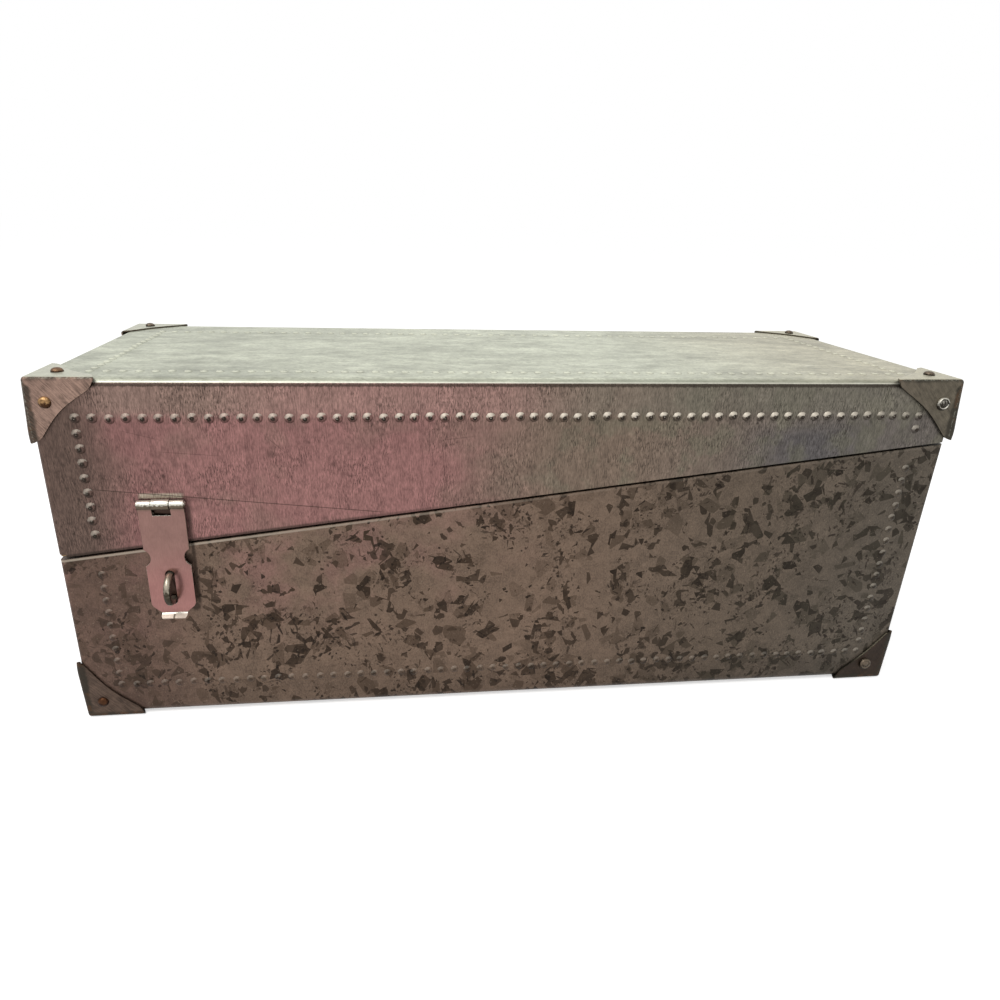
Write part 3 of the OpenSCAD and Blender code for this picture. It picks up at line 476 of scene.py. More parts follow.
def brushed_top(finish, spot):
    """The top, made pale by painted light and streaked along its length, with painted highlight and
    shade on its dimples as if lit from the front left.
    """
    x, y, z = finish.axes(spot)
    face_x, face_y, face_z = finish.axes(finish.facing())
    clouds = finish.noise(spot, (60, 24, 24), 3, 0.6, shift=(9, 2, 0))
    streaks = finish.noise(spot, (26, 1.6, 1.6), 3, 0.6)
    grain = finish.noise(spot, (5, 0.8, 0.8), 2, 0.6)
    patches = finish.noise(spot, (17, 9, 9), 3, 0.65, shift=(1, 7, 2))
    speckle = finish.step(finish.noise(spot, (1.7, 1.0, 1.0), 2, 0.6, shift=(8, 8, 3)), 0.3, 0.7)
    # Ground of the top in the pale tones of painted light
    tone = finish.mix(finish.step(x, MIDDLE_X + 60, RIGHT - 20), TOP_PALE_LIT, TOP_WARM_LIT)
    tone = finish.scaled(tone, 0.8 * clouds + 0.24 * streaks + 0.3 * grain + 1.1 * patches - 0.2)
    to_ends = finish.step(abs(x - MIDDLE_X), 60, 160)
    tone = finish.scaled(tone, 0.94 + 0.2 * speckle - 0.07 * to_ends)
    dashes = finish.noise(spot, (4.5, 1.1, 1.1), 2, 0.5, shift=(4, 4, 4))
    tone = finish.mix(finish.step(dashes, 0.58, 0.66) * 0.5, tone, TOP_DARK_AND_SHADE)
    worn = finish.step(finish.noise(spot, (15, 4, 4), 3, 0.6, shift=(6, 1, 3)), 0.64, 0.76)
    tone = finish.mix(worn * 0.5, tone, TOP_WORN_AND_HIGHLIGHT)
    at_edge = finish.step(out_of_sides(finish, x, y), -9.0, -1.0)
    tone = finish.mix(at_edge * 0.14, tone, TOP_DARK_AND_SHADE)
    # Painted highlight on the left and front sides of the top's dimples, painted shade on their right
    # sides
    pressed = finish.step(z, TOP + 0.1, TOP + 0.3)
    tone = finish.mix(pressed * finish.step(face_x, -0.1, -0.35) * 0.4, tone, TOP_WORN_AND_HIGHLIGHT)
    tone = finish.mix(pressed * finish.step(face_x, 0.1, 0.4) * 0.28, tone, TOP_DARK_AND_SHADE)
    tone = finish.mix(pressed * finish.step(face_y, 0.0, -0.35) * 0.5, tone, TOP_WORN_AND_HIGHLIGHT)
    # Painted shade where the top turns down into its bends, less on the dimples
    return finish.mix(finish.step(face_z, 0.97, 0.85) * (0.42 - 0.34 * pressed), tone, TOP_DARK_AND_SHADE)


def brushed_sheet(name):
    """The lid's sheets: tarnished sides with a painted rosy reflection, and a top made pale by painted
    light, with painted shade and a painted highlight on the bend between.
    """
    finish = Finish(name)
    spot = finish.place()
    x, _, z = finish.axes(spot)
    face_z = finish.axes(finish.facing())[2]
    chips = finish.noise(spot, 1.3, 2, 0.6)
    dimple_highlight, dimple_shade, raised = dimple_parts(finish, spot)
    sides = front_marks_and_painted_light(finish, spot, tarnish_and_reflection(finish, spot))
    # Painted shade on the undersides of the dimples and in the spot under their middle
    sides = finish.mix(raised * finish.step(face_z, 0.0, -0.5) * 0.45, sides, MARK_AND_SHADE_DARK)
    sides = finish.mix(dimple_shade * (0.72 + 0.5 * chips), sides, MARK_AND_SHADE_DARK)
    # Painted highlight on the top parts of the dimples, weaker at the left and right ends
    highlight_strength = 0.36 + 0.56 * finish.step(x, LEFT + 25, MIDDLE_X)
    highlight_strength = highlight_strength * (1.0 - 0.6 * finish.step(x, RIGHT - 90, RIGHT - 30))
    sides = finish.mix(dimple_highlight * highlight_strength, sides, DIMPLE_HIGHLIGHT)
    # Painted shade on the lower part of the bend between the sides and the top
    fold_shade = (1.0 - raised) * finish.band(face_z + 0.3 * (chips - 0.5), 0.22, 0.52, 0.08)
    sides = finish.mix(fold_shade * 0.75, sides, MARK_AND_SHADE_DARK)
    # The pale top tone of painted light, where the sheet faces up near the top
    level = finish.step(face_z, 0.5, 0.58) * finish.step(z, TOP - 8, TOP - 4)
    tone = finish.mix(level, sides, brushed_top(finish, spot))
    # Painted highlight along the ridge of the bend
    crest_highlight = (1.0 - raised) * finish.band(face_z, 0.56, 0.66, 0.03)
    tone = finish.mix(crest_highlight * (0.3 + 0.7 * chips), tone, FOLD_HIGHLIGHT)
    grain = finish.noise(spot, (0.7, 0.7, 4), 3, 0.7)
    roughness = 0.4 + 0.16 * finish.noise(spot, 7, 3, 0.6) + 0.14 * raised
    return finish.surface(tone, roughness, finish.bump(grain, 0.05), metallic=0.7, specular=0.3)


# Finish of the base's sheets

ZINC_WARM = (0.165, 0.113, 0.081)
ZINC_LEFT = (0.148, 0.092, 0.069)
ZINC_BLUSH = (0.21, 0.115, 0.098)
ZINC_BROWN = (0.12, 0.09, 0.066)
ZINC_DARK = (0.094, 0.077, 0.059)
# Painted highlight along the base's folded rim
HEM_HIGHLIGHT = (0.4, 0.34, 0.27)
# Dark of the crystals, also used for painted shade and shadow
SHARD_DARK_AND_SHADE = (0.012, 0.007, 0.004)
SHARD_MID = (0.056, 0.035, 0.022)
SHARD_OLIVE = (0.034, 0.028, 0.018)
GLINT = (0.3, 0.23, 0.17)

# Shadows in the strap's right notch and by its cut corner: across, up and radius
STRAP_SHADOWS = [
    (STRAP_HIGH.x - 1.4, STRAP_LOW.z + 34.6, 4.2),
    (STRAP_HIGH.x - 1.0, STRAP_LOW.z + 4.4, 3.4),
]


def crystals(finish, spot, domain, size, shift):
    """Three random numbers for each cut crystal of this size, which lie one way within a domain."""
    turn = finish.scaled(finish.cells(spot, domain, shift), 2 * math.pi)
    sockets = {"Vector": spot, "Rotation": turn}
    lying = finish.node("ShaderNodeVectorRotate", {"rotation_type": "EULER_XYZ"}, sockets)
    return finish.axes(finish.cells(lying, size, shift))


def zinc_ground(finish, spot):
    """The tone of the base between its crystals."""
    x, _, z = finish.axes(spot)
    clouds = finish.noise(spot, 34, 3, 0.55)
    tone = finish.mix(finish.step(x, MIDDLE_X, RIGHT - 110), ZINC_WARM, ZINC_BROWN)
    tone = finish.mix(finish.step(x, RIGHT - 130, RIGHT - 10), tone, ZINC_DARK)
    tone = finish.mix(finish.step(x, LEFT + 95, LEFT + 30), tone, ZINC_LEFT)
    blush = finish.step(x, MIDDLE_X + 40, LEFT + 120) * finish.step(z, 35, 105)
    tone = finish.mix(blush * finish.step(clouds, 0.42, 0.66) * 0.8, tone, ZINC_BLUSH)
    low = 0.74 + 0.26 * finish.step(z, BOTTOM, BOTTOM + 34)
    left = 0.82 + 0.18 * finish.step(x, LEFT + 30, LEFT + 75)
    return finish.scaled(tone, low * left * (0.84 + 0.3 * clouds))


def spangle(finish, spot, tone, ground, first):
    """Lays the dark crystals, slivers, specks and glints over the ground of the base's sheets.

    ground and first are random numbers of the pale crystals and of the darkest ones.
    """
    x = finish.axes(spot)[0]
    fine = finish.step(finish.noise(spot, (0.8, 0.8, 1.3), 3, 0.65), 0.3, 0.7)
    soft = finish.noise(spot, (6, 6, 6), 3, 0.65, shift=(9, 5, 1))
    crowd = finish.step(finish.noise(spot, 30, 2, 0.6, shift=(7, 3, 1)), 0.34, 0.66)
    clear = 0.72 + 0.28 * finish.step(x, LEFT + 45, LEFT + 100)
    faded = finish.mix(finish.step(x, MIDDLE_X, RIGHT - 70), SHARD_MID, SHARD_OLIVE)
    tone = finish.scaled(tone, 0.3 + 0.2 * ground[0] + 0.4 * fine + 0.8 * soft)
    mid = crystals(finish, spot, 27, (13, 7.5, 7.5), (5, 1, 8))
    mids = finish.step(mid[0] + 0.3 * crowd, 0.9, 0.92)
    tone = finish.mix(mids * clear * (0.15 + 0.6 * mid[1]), tone, faded)
    second = crystals(finish, spot, 18, (12, 6.5, 6.5), (8, 2, 7))[0]
    shards = finish.step(first[0] + 0.36 * crowd, 0.86, 0.87) * finish.step(second, 0.42, 0.43)
    inside = finish.noise(spot, (2.4, 2.4, 2.4), 2, 0.5, shift=(3, 3, 3))
    shard_tone = finish.mix(first[1] * 0.5 + inside * 0.5, SHARD_DARK_AND_SHADE, faded)
    tone = finish.mix(shards * clear * (0.62 + 0.38 * second), tone, shard_tone)
    sliver = crystals(finish, spot, 9, (8, 1.3, 1.3), (4, 4, 9))
    slivers = finish.step(sliver[0] + 0.22 * crowd, 1.05, 1.06)
    tone = finish.mix(slivers * (0.4 + 0.5 * sliver[1]), tone, SHARD_DARK_AND_SHADE)
    specks = finish.step(finish.noise(spot, 2.1, 3, 0.7, shift=(6, 6, 2)), 0.56, 0.63)
    tone = finish.mix(specks * (0.2 + 0.5 * crowd), tone, faded)
    glints = finish.step(finish.noise(spot, 1.3, 2, 0.6, shift=(2, 8, 6)), 0.64, 0.74)
    return finish.mix(glints * 0.35, tone, GLINT), fine


def strap_shade(finish, x, y, z):
    """1 where the strap shades the base: along its right edge, in its notch and by its corner."""
    shade = beside_strap(finish, x, y) * finish.step(z, STRAP_LOW.z + 3, STRAP_LOW.z + 8)
    for across, up, reach in STRAP_SHADOWS:
        off_x, off_z = x - across, z - up
        pool = finish.step(off_x * off_x + off_z * off_z, reach * reach, 0.2 * reach * reach)
        shade = finish.most(shade, pool * on_front(finish, y))
    return shade


def spangled_sheet(name):
    """The base's sheets: worn zinc with dark cut crystals and dimples, painted highlight and shade on
    the dimples, a painted highlight along the folded rim and the strap's painted shadow.
    """
    finish = Finish(name)
    spot = finish.place()
    x, y, z = finish.axes(spot)
    ground = crystals(finish, spot, 38, (15, 11, 11), (2, 9, 4))
    first = crystals(finish, spot, 23, (10, 5, 5), (1, 6, 3))
    tone, fine = spangle(finish, spot, zinc_ground(finish, spot), ground, first)
    dimple_highlight, dimple_shade, _ = dimple_parts(finish, spot)
    # Painted highlight on the top parts of the dimples, stronger at the right end, and painted shade
    # under their middle
    highlight_strength = 0.12 + 0.12 * finish.step(x, RIGHT - 90, RIGHT - 25)
    tone = finish.mix(dimple_highlight * highlight_strength, tone, DIMPLE_HIGHLIGHT)
    tone = finish.mix(dimple_shade * 0.5, tone, SHARD_DARK_AND_SHADE)
    # Painted highlight along the base's folded rim, under the gap, strongest at the left
    rim_painted_light = finish.band(over_rim(x, z), -1.5, -0.2, 0.3)
    rim_painted_light = rim_painted_light * (0.08 + 0.62 * finish.step(x, MIDDLE_X + 60, LEFT + 60))
    tone = finish.mix(rim_painted_light, tone, HEM_HIGHLIGHT)
    tone = finish.mix(strap_shade(finish, x, y, z) * 0.72, tone, SHARD_DARK_AND_SHADE)
    relief = finish.bump(fine, 0.03, finish.bump(first[0] * 0.5 + ground[0] * 0.5, 0.02))
    roughness = 0.38 + 0.1 * ground[0] + 0.08 * fine
    return finish.surface(tone, roughness, relief, metallic=0.65, specular=0.25)


# Finish of the caps and nails

CAP_BROWN = (0.246, 0.162, 0.127)
CAP_GREY = (0.11, 0.094, 0.069)
CAP_LOW = (0.082, 0.055, 0.041)
CAP_LOWEST = (0.027, 0.017, 0.011)
# Dark of the caps' folds, also painted shadow along their cut edges
CAP_DARK_AND_SHADOW = (0.03, 0.027, 0.02)
# Pale of the caps' top faces in painted light, also the tone of their worn bends
CAP_TOP_LIT_AND_WORN = (0.5, 0.5, 0.41)
# Painted highlight along the cut edge of the base's right cap
CAP_RIM_HIGHLIGHT = (0.3, 0.27, 0.2)
RUST = (0.13, 0.06, 0.025)


def cap_fold(finish, x, y, z):
    """The middle one of a point's distances from a cap's three outer planes, 0 along its folds."""
    from_end = LENGTH / 2 + CAP - abs(x - MIDDLE_X)
    from_side = DEPTH / 2 + CAP - abs(y - MIDDLE_Y)
    from_level = HEIGHT / 2 + CAP - abs(z - MIDDLE_Z)
    lesser = finish.least(from_end, from_side)
    greater = finish.most(from_end, from_side)
    return finish.most(lesser, finish.least(greater, from_level))


def cap_ground(finish, x, y, z):
    """Brown at the front left and grey elsewhere, darker on the base."""
    on_right = finish.step(x, MIDDLE_X, RIGHT)
    tone = finish.mix(on_right, CAP_BROWN, CAP_GREY)
    tone = finish.mix(finish.step(y, MIDDLE_Y, BACK), tone, CAP_GREY)
    deep = finish.mix(on_right, CAP_LOW, CAP_LOWEST)
    return finish.mix(finish.step(z, TOP - 60, BOTTOM + 60), tone, deep)


def cap_edge_shadow_and_highlight(finish, x, y, z, to_fold, tone):
    """Cut edges: painted shadow along them, faint at the back and the base's left, and a painted
    highlight on the base's right ones.
    """
    face_x, face_y, face_z = finish.axes(finish.facing())
    widest = finish.most(finish.most(abs(face_x), abs(face_y)), abs(face_z))
    edge = finish.step(widest, 0.93, 0.8) * finish.step(to_fold, 2.4, 3.6)
    on_right = finish.step(x, MIDDLE_X, RIGHT)
    on_base = finish.step(z, 70, 50)
    faint = finish.most(finish.step(y, MIDDLE_Y, BACK), on_base * (1.0 - on_right))
    # Painted shadow along the cut edges
    tone = finish.mix(edge * (0.9 - 0.7 * faint), tone, CAP_DARK_AND_SHADOW)
    # Painted highlight along the top part of the base's right cut edges
    rim = edge * on_base * on_right * finish.step(z, 12, 20)
    return finish.mix(rim * 0.8, tone, CAP_RIM_HIGHLIGHT)


def cap_steel(name):
    """Scuffed sheet steel, dark and rusty along its folds."""
    finish = Finish(name)
    spot = finish.place()
    x, y, z = finish.axes(spot)
    face_z = finish.axes(finish.facing())[2]
    to_fold = cap_fold(finish, x, y, z)
    on_right = finish.step(x, MIDDLE_X, RIGHT)
    scuffs = finish.noise(spot, (0.7, 0.7, 9), 3, 0.65, turn=(0, -42, 0))
    cross = finish.noise(spot, (0.8, 0.8, 5), 3, 0.6, turn=(30, -48, 0), shift=(2, 3, 4))
    mottle = finish.noise(spot, 5, 3, 0.6)
    speckle = finish.noise(spot, 1.1, 2, 0.7, shift=(7, 7, 1))
    scored = finish.step(scuffs, 0.3, 0.66)
    brushed = 0.62 - 0.3 * on_right
    shade = brushed * (scored - 0.5) + 0.5 * cross + 0.3 * speckle + 1.2 * mottle
    tone = finish.scaled(cap_ground(finish, x, y, z), shade)
    reach = 2.0 * finish.step(z, TOP - 1, TOP - 5)
    edge = finish.step(to_fold + 3.0 * mottle - reach, 3.8, 1.8)
    tone = finish.mix(edge * (0.5 + 0.45 * scored), tone, CAP_DARK_AND_SHADOW)
    worn_fold = finish.band(to_fold, 0.2, 0.9, 0.3) * finish.step(cross, 0.45, 0.62)
    tone = finish.mix(worn_fold * 0.3 * finish.step(z, 50, 70), tone, CAP_TOP_LIT_AND_WORN)
    rust = finish.step(mottle + 0.2 * edge, 0.68, 0.86)
    tone = finish.mix(rust * 0.4, tone, RUST)
    # Top faces of the lid's caps in the pale tone of painted light
    pale = finish.scaled(finish.mix(on_right, CAP_TOP_LIT_AND_WORN, TOP_WARM_LIT), 0.6 + 0.5 * mottle + 0.4 * cross)
    level = finish.step(face_z, 0.84, 0.95) * finish.step(z, TOP - 4, TOP - 1)
    tone = finish.mix(level, tone, pale)
    tone = cap_edge_shadow_and_highlight(finish, x, y, z, to_fold, tone)
    roughness = 0.36 + 0.2 * mottle + 0.12 * edge
    relief = finish.bump(scuffs, 0.07, finish.bump(mottle, 0.16))
    return finish.surface(tone, roughness, relief, metallic=0.75, specular=0.25)


def nail_metal(name, light, dark, rubbed):
    """A nail head with a painted highlight above and painted shade below, its crown lighter still by
    the share rubbed.
    """
    finish = Finish(name)
    spot = finish.place()
    x, y, z = finish.axes(spot)
    face_x, _, face_z = finish.axes(finish.facing())
    pits = finish.noise(spot, 1.1, 3, 0.6)
    out = finish.most(out_of_sides(finish, x, y), z - TOP)
    crown = finish.step(out, CAP + 0.2, CAP + 1.6)
    # Painted highlight where the head faces up, painted shade where it faces down
    slope = 0.8 * face_z + (0.5 - rubbed) * abs(face_x)
    lit = finish.step(rubbed * crown + slope + 1.6 * (pits - 0.5), 0.1, 0.8)
    tone = finish.mix(lit, dark, light)
    roughness = 0.28 + 0.3 * pits
    return finish.surface(tone, roughness, finish.bump(pits, 0.25), metallic=0.9, specular=0.3)


# Finish of the hasp and hinges

SATIN_GREY = (0.225, 0.127, 0.109)
# Painted rosy reflection on the lower part of the strap
SATIN_PINK_REFLECTION = (0.29, 0.142, 0.128)
# Painted highlight on the hasp's lip, which faces up
LIP_HIGHLIGHT = (0.6, 0.5, 0.42)
# Painted highlight and shade of the round parts of the staple
STAPLE_HIGHLIGHT = (0.42, 0.37, 0.29)
STAPLE_SHADE = (0.04, 0.033, 0.022)
# Painted highlight and shade of the round parts of the hasp
NICKEL_HIGHLIGHT = (0.82, 0.79, 0.69)
NICKEL_SHADE = (0.11, 0.085, 0.06)
# Painted shade on the plates under the strap
BEHIND_SHADE = (0.03, 0.018, 0.013)
HINGE_DARK = (0.24, 0.21, 0.175)
HINGE_LIGHT = (0.36, 0.33, 0.29)


def plated_steel(name, light, dark):
    """Plating, warm with a painted rosy reflection where the hasp lies flat, from painted shade to
    painted highlight where it is round, with painted shade on the plates under the strap, a painted
    highlight on the lip and painted shade along the kink in the lip.
    """
    finish = Finish(name)
    spot = finish.place()
    x, y, z = finish.axes(spot)
    _, face_y, face_z = finish.axes(finish.facing())
    clouds = finish.noise(spot, 8, 3, 0.6)
    fine = finish.noise(spot, (0.5, 0.5, 3), 3, 0.6)
    # Flat faces grey-brown above and a painted rosy reflection lower down
    flat_tone_and_reflection = finish.mix(finish.step(z + 16 * (clouds - 0.5), 118, 84), SATIN_GREY, SATIN_PINK_REFLECTION)
    flat_tone_and_reflection = finish.scaled(flat_tone_and_reflection, 0.58 + 0.4 * clouds + 0.44 * fine)
    blots = finish.noise(spot, 1.5, 3, 0.6, shift=(4, 1, 2))
    # Painted highlight where the round parts face up, painted shade below
    nickel = finish.mix(finish.step(face_z + 1.1 * (blots - 0.5), 0.0, 0.5), dark, light)
    nickel = finish.scaled(nickel, 0.8 + 0.4 * clouds)
    flat = finish.step(abs(face_y), 0.9, 0.985) * finish.step(y, PIN_Y - 1.6, PIN_Y - 1.1)
    tone = finish.mix(flat, nickel, flat_tone_and_reflection)
    # Painted shade on what lies under the strap: the leaf and the staple plate
    shade_behind = finish.step(y, PLATE_FRONT - 0.7, PLATE_FRONT - 0.4)
    tone = finish.mix(shade_behind * 0.95, tone, BEHIND_SHADE)
    # Painted highlight on the lip
    lip = finish.step(z, STRAP_LOW.z + 2.6, STRAP_LOW.z + 1.9)
    tone = finish.mix(lip * 0.9, tone, LIP_HIGHLIGHT)
    # Painted shade along the kink in the middle of the lip
    crease_shade = finish.step(abs(x - HASP_X), 0.7, 0.3) * lip
    tone = finish.mix(crease_shade * 0.85, tone, NICKEL_SHADE)
    roughness = 0.24 + 0.14 * fine + 0.3 * lip
    return finish.surface(tone, roughness, finish.bump(fine, 0.03), metallic=0.85, specular=0.25)


def hinge_steel(name):
    finish = Finish(name)
    spot = finish.place()
    clouds = finish.noise(spot, 6, 3, 0.6)
    fine = finish.noise(spot, (3, 0.5, 0.5), 3, 0.6)
    tone = finish.mix(finish.step(clouds, 0.4, 0.65), HINGE_DARK, HINGE_LIGHT)
    tone = finish.mix(finish.step(clouds, 0.4, 0.28) * 0.6, tone, RUST)
    tone = finish.scaled(tone, 0.8 + 0.4 * fine)
    return finish.surface(tone, 0.3 + 0.2 * clouds, finish.bump(fine, 0.02), metallic=0.85)


# Finish of the boards

WOOD_PALE = (0.56, 0.39, 0.22)
WOOD_DEEP = (0.31, 0.185, 0.09)
WOOD_STAIN = (0.16, 0.095, 0.05)

# Sizes of the figure and the pores, with the grain and across it, and how closely the rings lie
WOOD_FIGURE = (260, 7.5)
WOOD_PORES = (22, 0.5)
WOOD_RINGS = 58.0


def with_grain(along, sizes):
    """The first of sizes for the axis numbered along, and the second for the others."""
    return [sizes[0] if axis == along else sizes[1] for axis in range(3)]


def bare_timber(name, along):
    """Planed softwood, its figure running along the axis numbered along."""
    finish = Finish(name)
    spot = finish.place()
    sweep = finish.noise(spot, with_grain(along, WOOD_FIGURE), 1, 0.5)
    rings = abs(finish.math("SINE", sweep * WOOD_RINGS))
    fibre = finish.noise(spot, with_grain(along, WOOD_PORES), 3, 0.6)
    stain = finish.noise(spot, 55, 3, 0.6, shift=(3, 8, 2))
    tone = finish.mix(rings * rings, WOOD_PALE, WOOD_DEEP)
    tone = finish.scaled(tone, 0.76 + 0.48 * fibre)
    tone = finish.mix(finish.step(stain, 0.5, 0.78) * 0.45, tone, WOOD_STAIN)
    relief = finish.bump(rings * 0.5 + fibre * 0.5, 0.12)
    return finish.surface(tone, 0.62 + 0.2 * fibre, relief, metallic=0.0, specular=0.3)


# Modelling


def open_piece(name):
    """The primitive just added, named and opened in edit mode, all of it selected."""
    piece = bpy.context.object
    piece.name = name
    bpy.ops.object.transform_apply(location=True, rotation=True, scale=True)
    bpy.ops.object.mode_set(mode="EDIT")
    bpy.ops.mesh.select_all(action="SELECT")
    return piece


def only(piece):
    """Makes piece the one that is selected and active."""
    bpy.ops.object.select_all(action="DESELECT")
    piece.select_set(True)
    bpy.context.view_layer.objects.active = piece


def pick(piece, kind, rule):
    """Selects the faces or edges that rule is true for."""
    bpy.ops.mesh.select_mode(type=kind)
    bpy.ops.mesh.select_all(action="DESELECT")
    net = bmesh.from_edit_mesh(piece.data)
    for item in net.edges if kind == "EDGE" else net.faces:
        if rule(item):
            item.select_set(True)
    bmesh.update_edit_mesh(piece.data)


def pick_all():
    bpy.ops.mesh.select_mode(type="VERT")
    bpy.ops.mesh.select_all(action="SELECT")


def cut_away(spot, normal):
    """Takes off everything on the side of the plane that normal points to."""
    pick_all()
    bpy.ops.mesh.bisect(plane_co=spot, plane_no=normal, clear_outer=True)


def modify(piece, kind, **settings):
    made = piece.modifiers.new(kind.lower(), kind)
    for name, value in settings.items():
        setattr(made, name, value)
    only(piece)
    bpy.ops.object.modifier_apply(modifier=made.name)


def ease(piece, width, degrees):
    """Bevels the edges that are sharper than degrees, by width in the mesh's own units."""
    turn = math.radians(degrees)
    modify(piece, "BEVEL", width=width, limit_method="ANGLE", angle_limit=turn, segments=2)


def smooth(piece, degrees=30):
    only(piece)
    bpy.ops.object.shade_smooth_by_angle(angle=math.radians(degrees))


def set_down(piece, place):
    """Moves a mesh drawn in millimetres to its place in the frame, mirrored ones right side out."""
    piece.data.transform(Matrix.Scale(MM, 4) @ place)
    if place.determinant() < 0:
        piece.data.flip_normals()


def fit(piece, finish, slot, body, *nodes):
    """Gives a finished piece its material and body, and hides the CAD nodes that it stands for."""
    piece.data.materials.clear()
    piece.data.materials.append(finish)
    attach(piece, body)
    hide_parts(*nodes)


def softened(name, node, width):
    """A copy of a CAD piece with its sharp edges eased by width."""
    piece = bpy.data.objects.new(name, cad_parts[node].data.copy())
    bpy.context.scene.collection.objects.link(piece)
    only(piece)
    bpy.ops.object.mode_set(mode="EDIT")
    pick_all()
    bpy.ops.mesh.remove_doubles(threshold=1e-6)
    bpy.ops.mesh.dissolve_limited(angle_limit=math.radians(2))
    bpy.ops.object.mode_set(mode="OBJECT")
    ease(piece, width * MM, 35)
    smooth(piece)
    return piece


# Corner caps

# Size of the box that a cap is cut from, and how often its faces are divided to take the bends
CAP_BLANK = 48.0
CAP_CUTS = 15
CAP_FOLD = 2.0
CAP_WALL = 0.9
CAP_EASE = 0.22

# How far the end face stands off, and how much of its spread curls back at the foot
CAP_PROUD = 0.3
CAP_CURL = 0.3
CURL_FROM = 0.68
CURL_REACH = 0.2

# The lobes: the flat of their tips, their usual radius, and the turns of the planes that round them
TIP_EDGE = 3.4
TIP_R = 6.0
TIP_TURNS = (14, 28, 40)

# The shape of each cap, in the words of pressed_cap
CAPS = {
    "lid_cap_front_left": dict(tips=(33.2, 33, 33.8), bow=0.14, flare=2.1, lift=0.5),
    "lid_cap_front_right": dict(
        tips=(40, 33, 35.8), radii=(2.6, 6, 6), flare=3.5, lift=1.1, proud=0.9
    ),
    "lid_cap_back_left": dict(tips=(34, 34, 35), flare=0.6),
    "lid_cap_back_right": dict(tips=(34, 33, 34), flare=0.8),
    "base_cap_front_left": dict(
        tips=(31.4, 33, 37.6), radii=(6.5, 6, 3), bow=0.13, flare=2.0, lift=0.0
    ),
    "base_cap_front_right": dict(
        tips=(32.4, 33, 35.6), radii=(8, 6, 2.5), bow=0.08, flare=0.9, lift=0.2
    ),
    "base_cap_back_left": dict(tips=(34, 34, 35), flare=0.7),
    "base_cap_back_right": dict(tips=(34, 33, 34), flare=0.5),
}

# The flat nails under the box, and the shallow seats that they lie in
TACK_R = 2.3
TACK_SINK = 0.15
TACK_PLAY = 0.1

# How far from the outer planes of its cap a nail stands, if FRONT_NAILS doesn't say otherwise
NAIL_INSET = 12.5


def apex(corner):
    """The sharp corner of a cap, outside the sheets, and the mirroring that takes a drawn cap there."""
    ends = ((LEFT - CAP, RIGHT + CAP), (FRONT - CAP, BACK + CAP), (BOTTOM - CAP, TOP + CAP))
    spot = [side[0] if way < 0 else side[1] for side, way in zip(ends, corner)]
    return Matrix.Translation(spot) @ Matrix.Diagonal([-way for way in corner] + [1])


def on_fold(vertex):
    return sum(abs(c) < 0.01 for c in vertex.co) >= 2


def round_tip(axis, tip, radius):
    """Rounds a lobe of the cap by planes that touch the circle at its end."""
    for angle in TIP_TURNS:
        turn = math.radians(angle)
        reach = math.cos(turn) * (tip - radius) + math.sin(turn) * TIP_EDGE + radius
        normal = [math.sin(turn)] * 3
        normal[axis] = math.cos(turn)
        start = [0.0] * 3
        start[axis] = reach / math.cos(turn)
        cut_away(start, normal)


def bend_cap(cap, legs, bow, flare, lift, proud):
    """Bends the flat faces of a cap. u, v and w run from 0 at its apex to 1 at its three legs."""
    for vertex in cap.data.vertices:
        u, v, w = [c / leg for c, leg in zip(vertex.co, legs)]
        vertex.co *= 1 - bow * (4 * (u * v + v * w + u * w)) ** 2
        curl = 1 - CAP_CURL * max(0.0, (w - CURL_FROM) / CURL_REACH) ** 2
        vertex.co.x -= (proud + flare * w) * curl * (1 - min(u, 1)) ** 2
        vertex.co.y -= lift * (u + v + w) ** 3 * (1 - min(v, 1)) ** 2


def pressed_cap(name, tips, radii=(TIP_R,) * 3, bow=0.12, flare=0.0, lift=0.4, proud=CAP_PROUD):
    """A three-cornered cap, drawn with its apex at the origin and its lobes along the axes.

    tips are how far the lobes reach, and radii how round they are. bow draws the slanted edges
    in, flare spreads the end face towards its foot, where it curls back, lift raises the front of
    the long lobe, and proud is how far the end face stands off.
    """
    legs = [tip + (math.sqrt(2) - 1) * radius + TIP_EDGE for tip, radius in zip(tips, radii)]
    bpy.ops.object.select_all(action="DESELECT")
    bpy.ops.mesh.primitive_cube_add(size=CAP_BLANK, location=[CAP_BLANK / 2] * 3)
    cap = open_piece(name)
    pick(cap, "FACE", lambda face: max(face.normal) > 0.5)
    bpy.ops.mesh.delete(type="FACE")
    pick_all()
    bpy.ops.mesh.subdivide(number_cuts=CAP_CUTS)
    pick(cap, "EDGE", lambda edge: all(on_fold(vertex) for vertex in edge.verts))
    bpy.ops.mesh.bevel(offset=CAP_FOLD, segments=4, affect="EDGES")
    cut_away((legs[0], 0, 0), [1 / leg for leg in legs])
    for axis, (tip, radius) in enumerate(zip(tips, radii)):
        round_tip(axis, tip, radius)
    bpy.ops.object.mode_set(mode="OBJECT")
    bend_cap(cap, legs, bow, flare, lift, proud)
    modify(cap, "SOLIDIFY", thickness=CAP_WALL, offset=-1.0, use_even_offset=True)
    ease(cap, CAP_EASE, 50)
    for vertex in cap.data.vertices:
        vertex.co.z = max(vertex.co.z, 0.0)
    smooth(cap, 40)
    return cap


def corner_of(name):
    """The corner of the box that a cap sits on, as -1 or 1 along each axis."""
    side = -1 if name.endswith("left") else 1
    depth = -1 if "_front_" in name else 1
    level = 1 if name.startswith("lid") else -1
    return (side, depth, level)


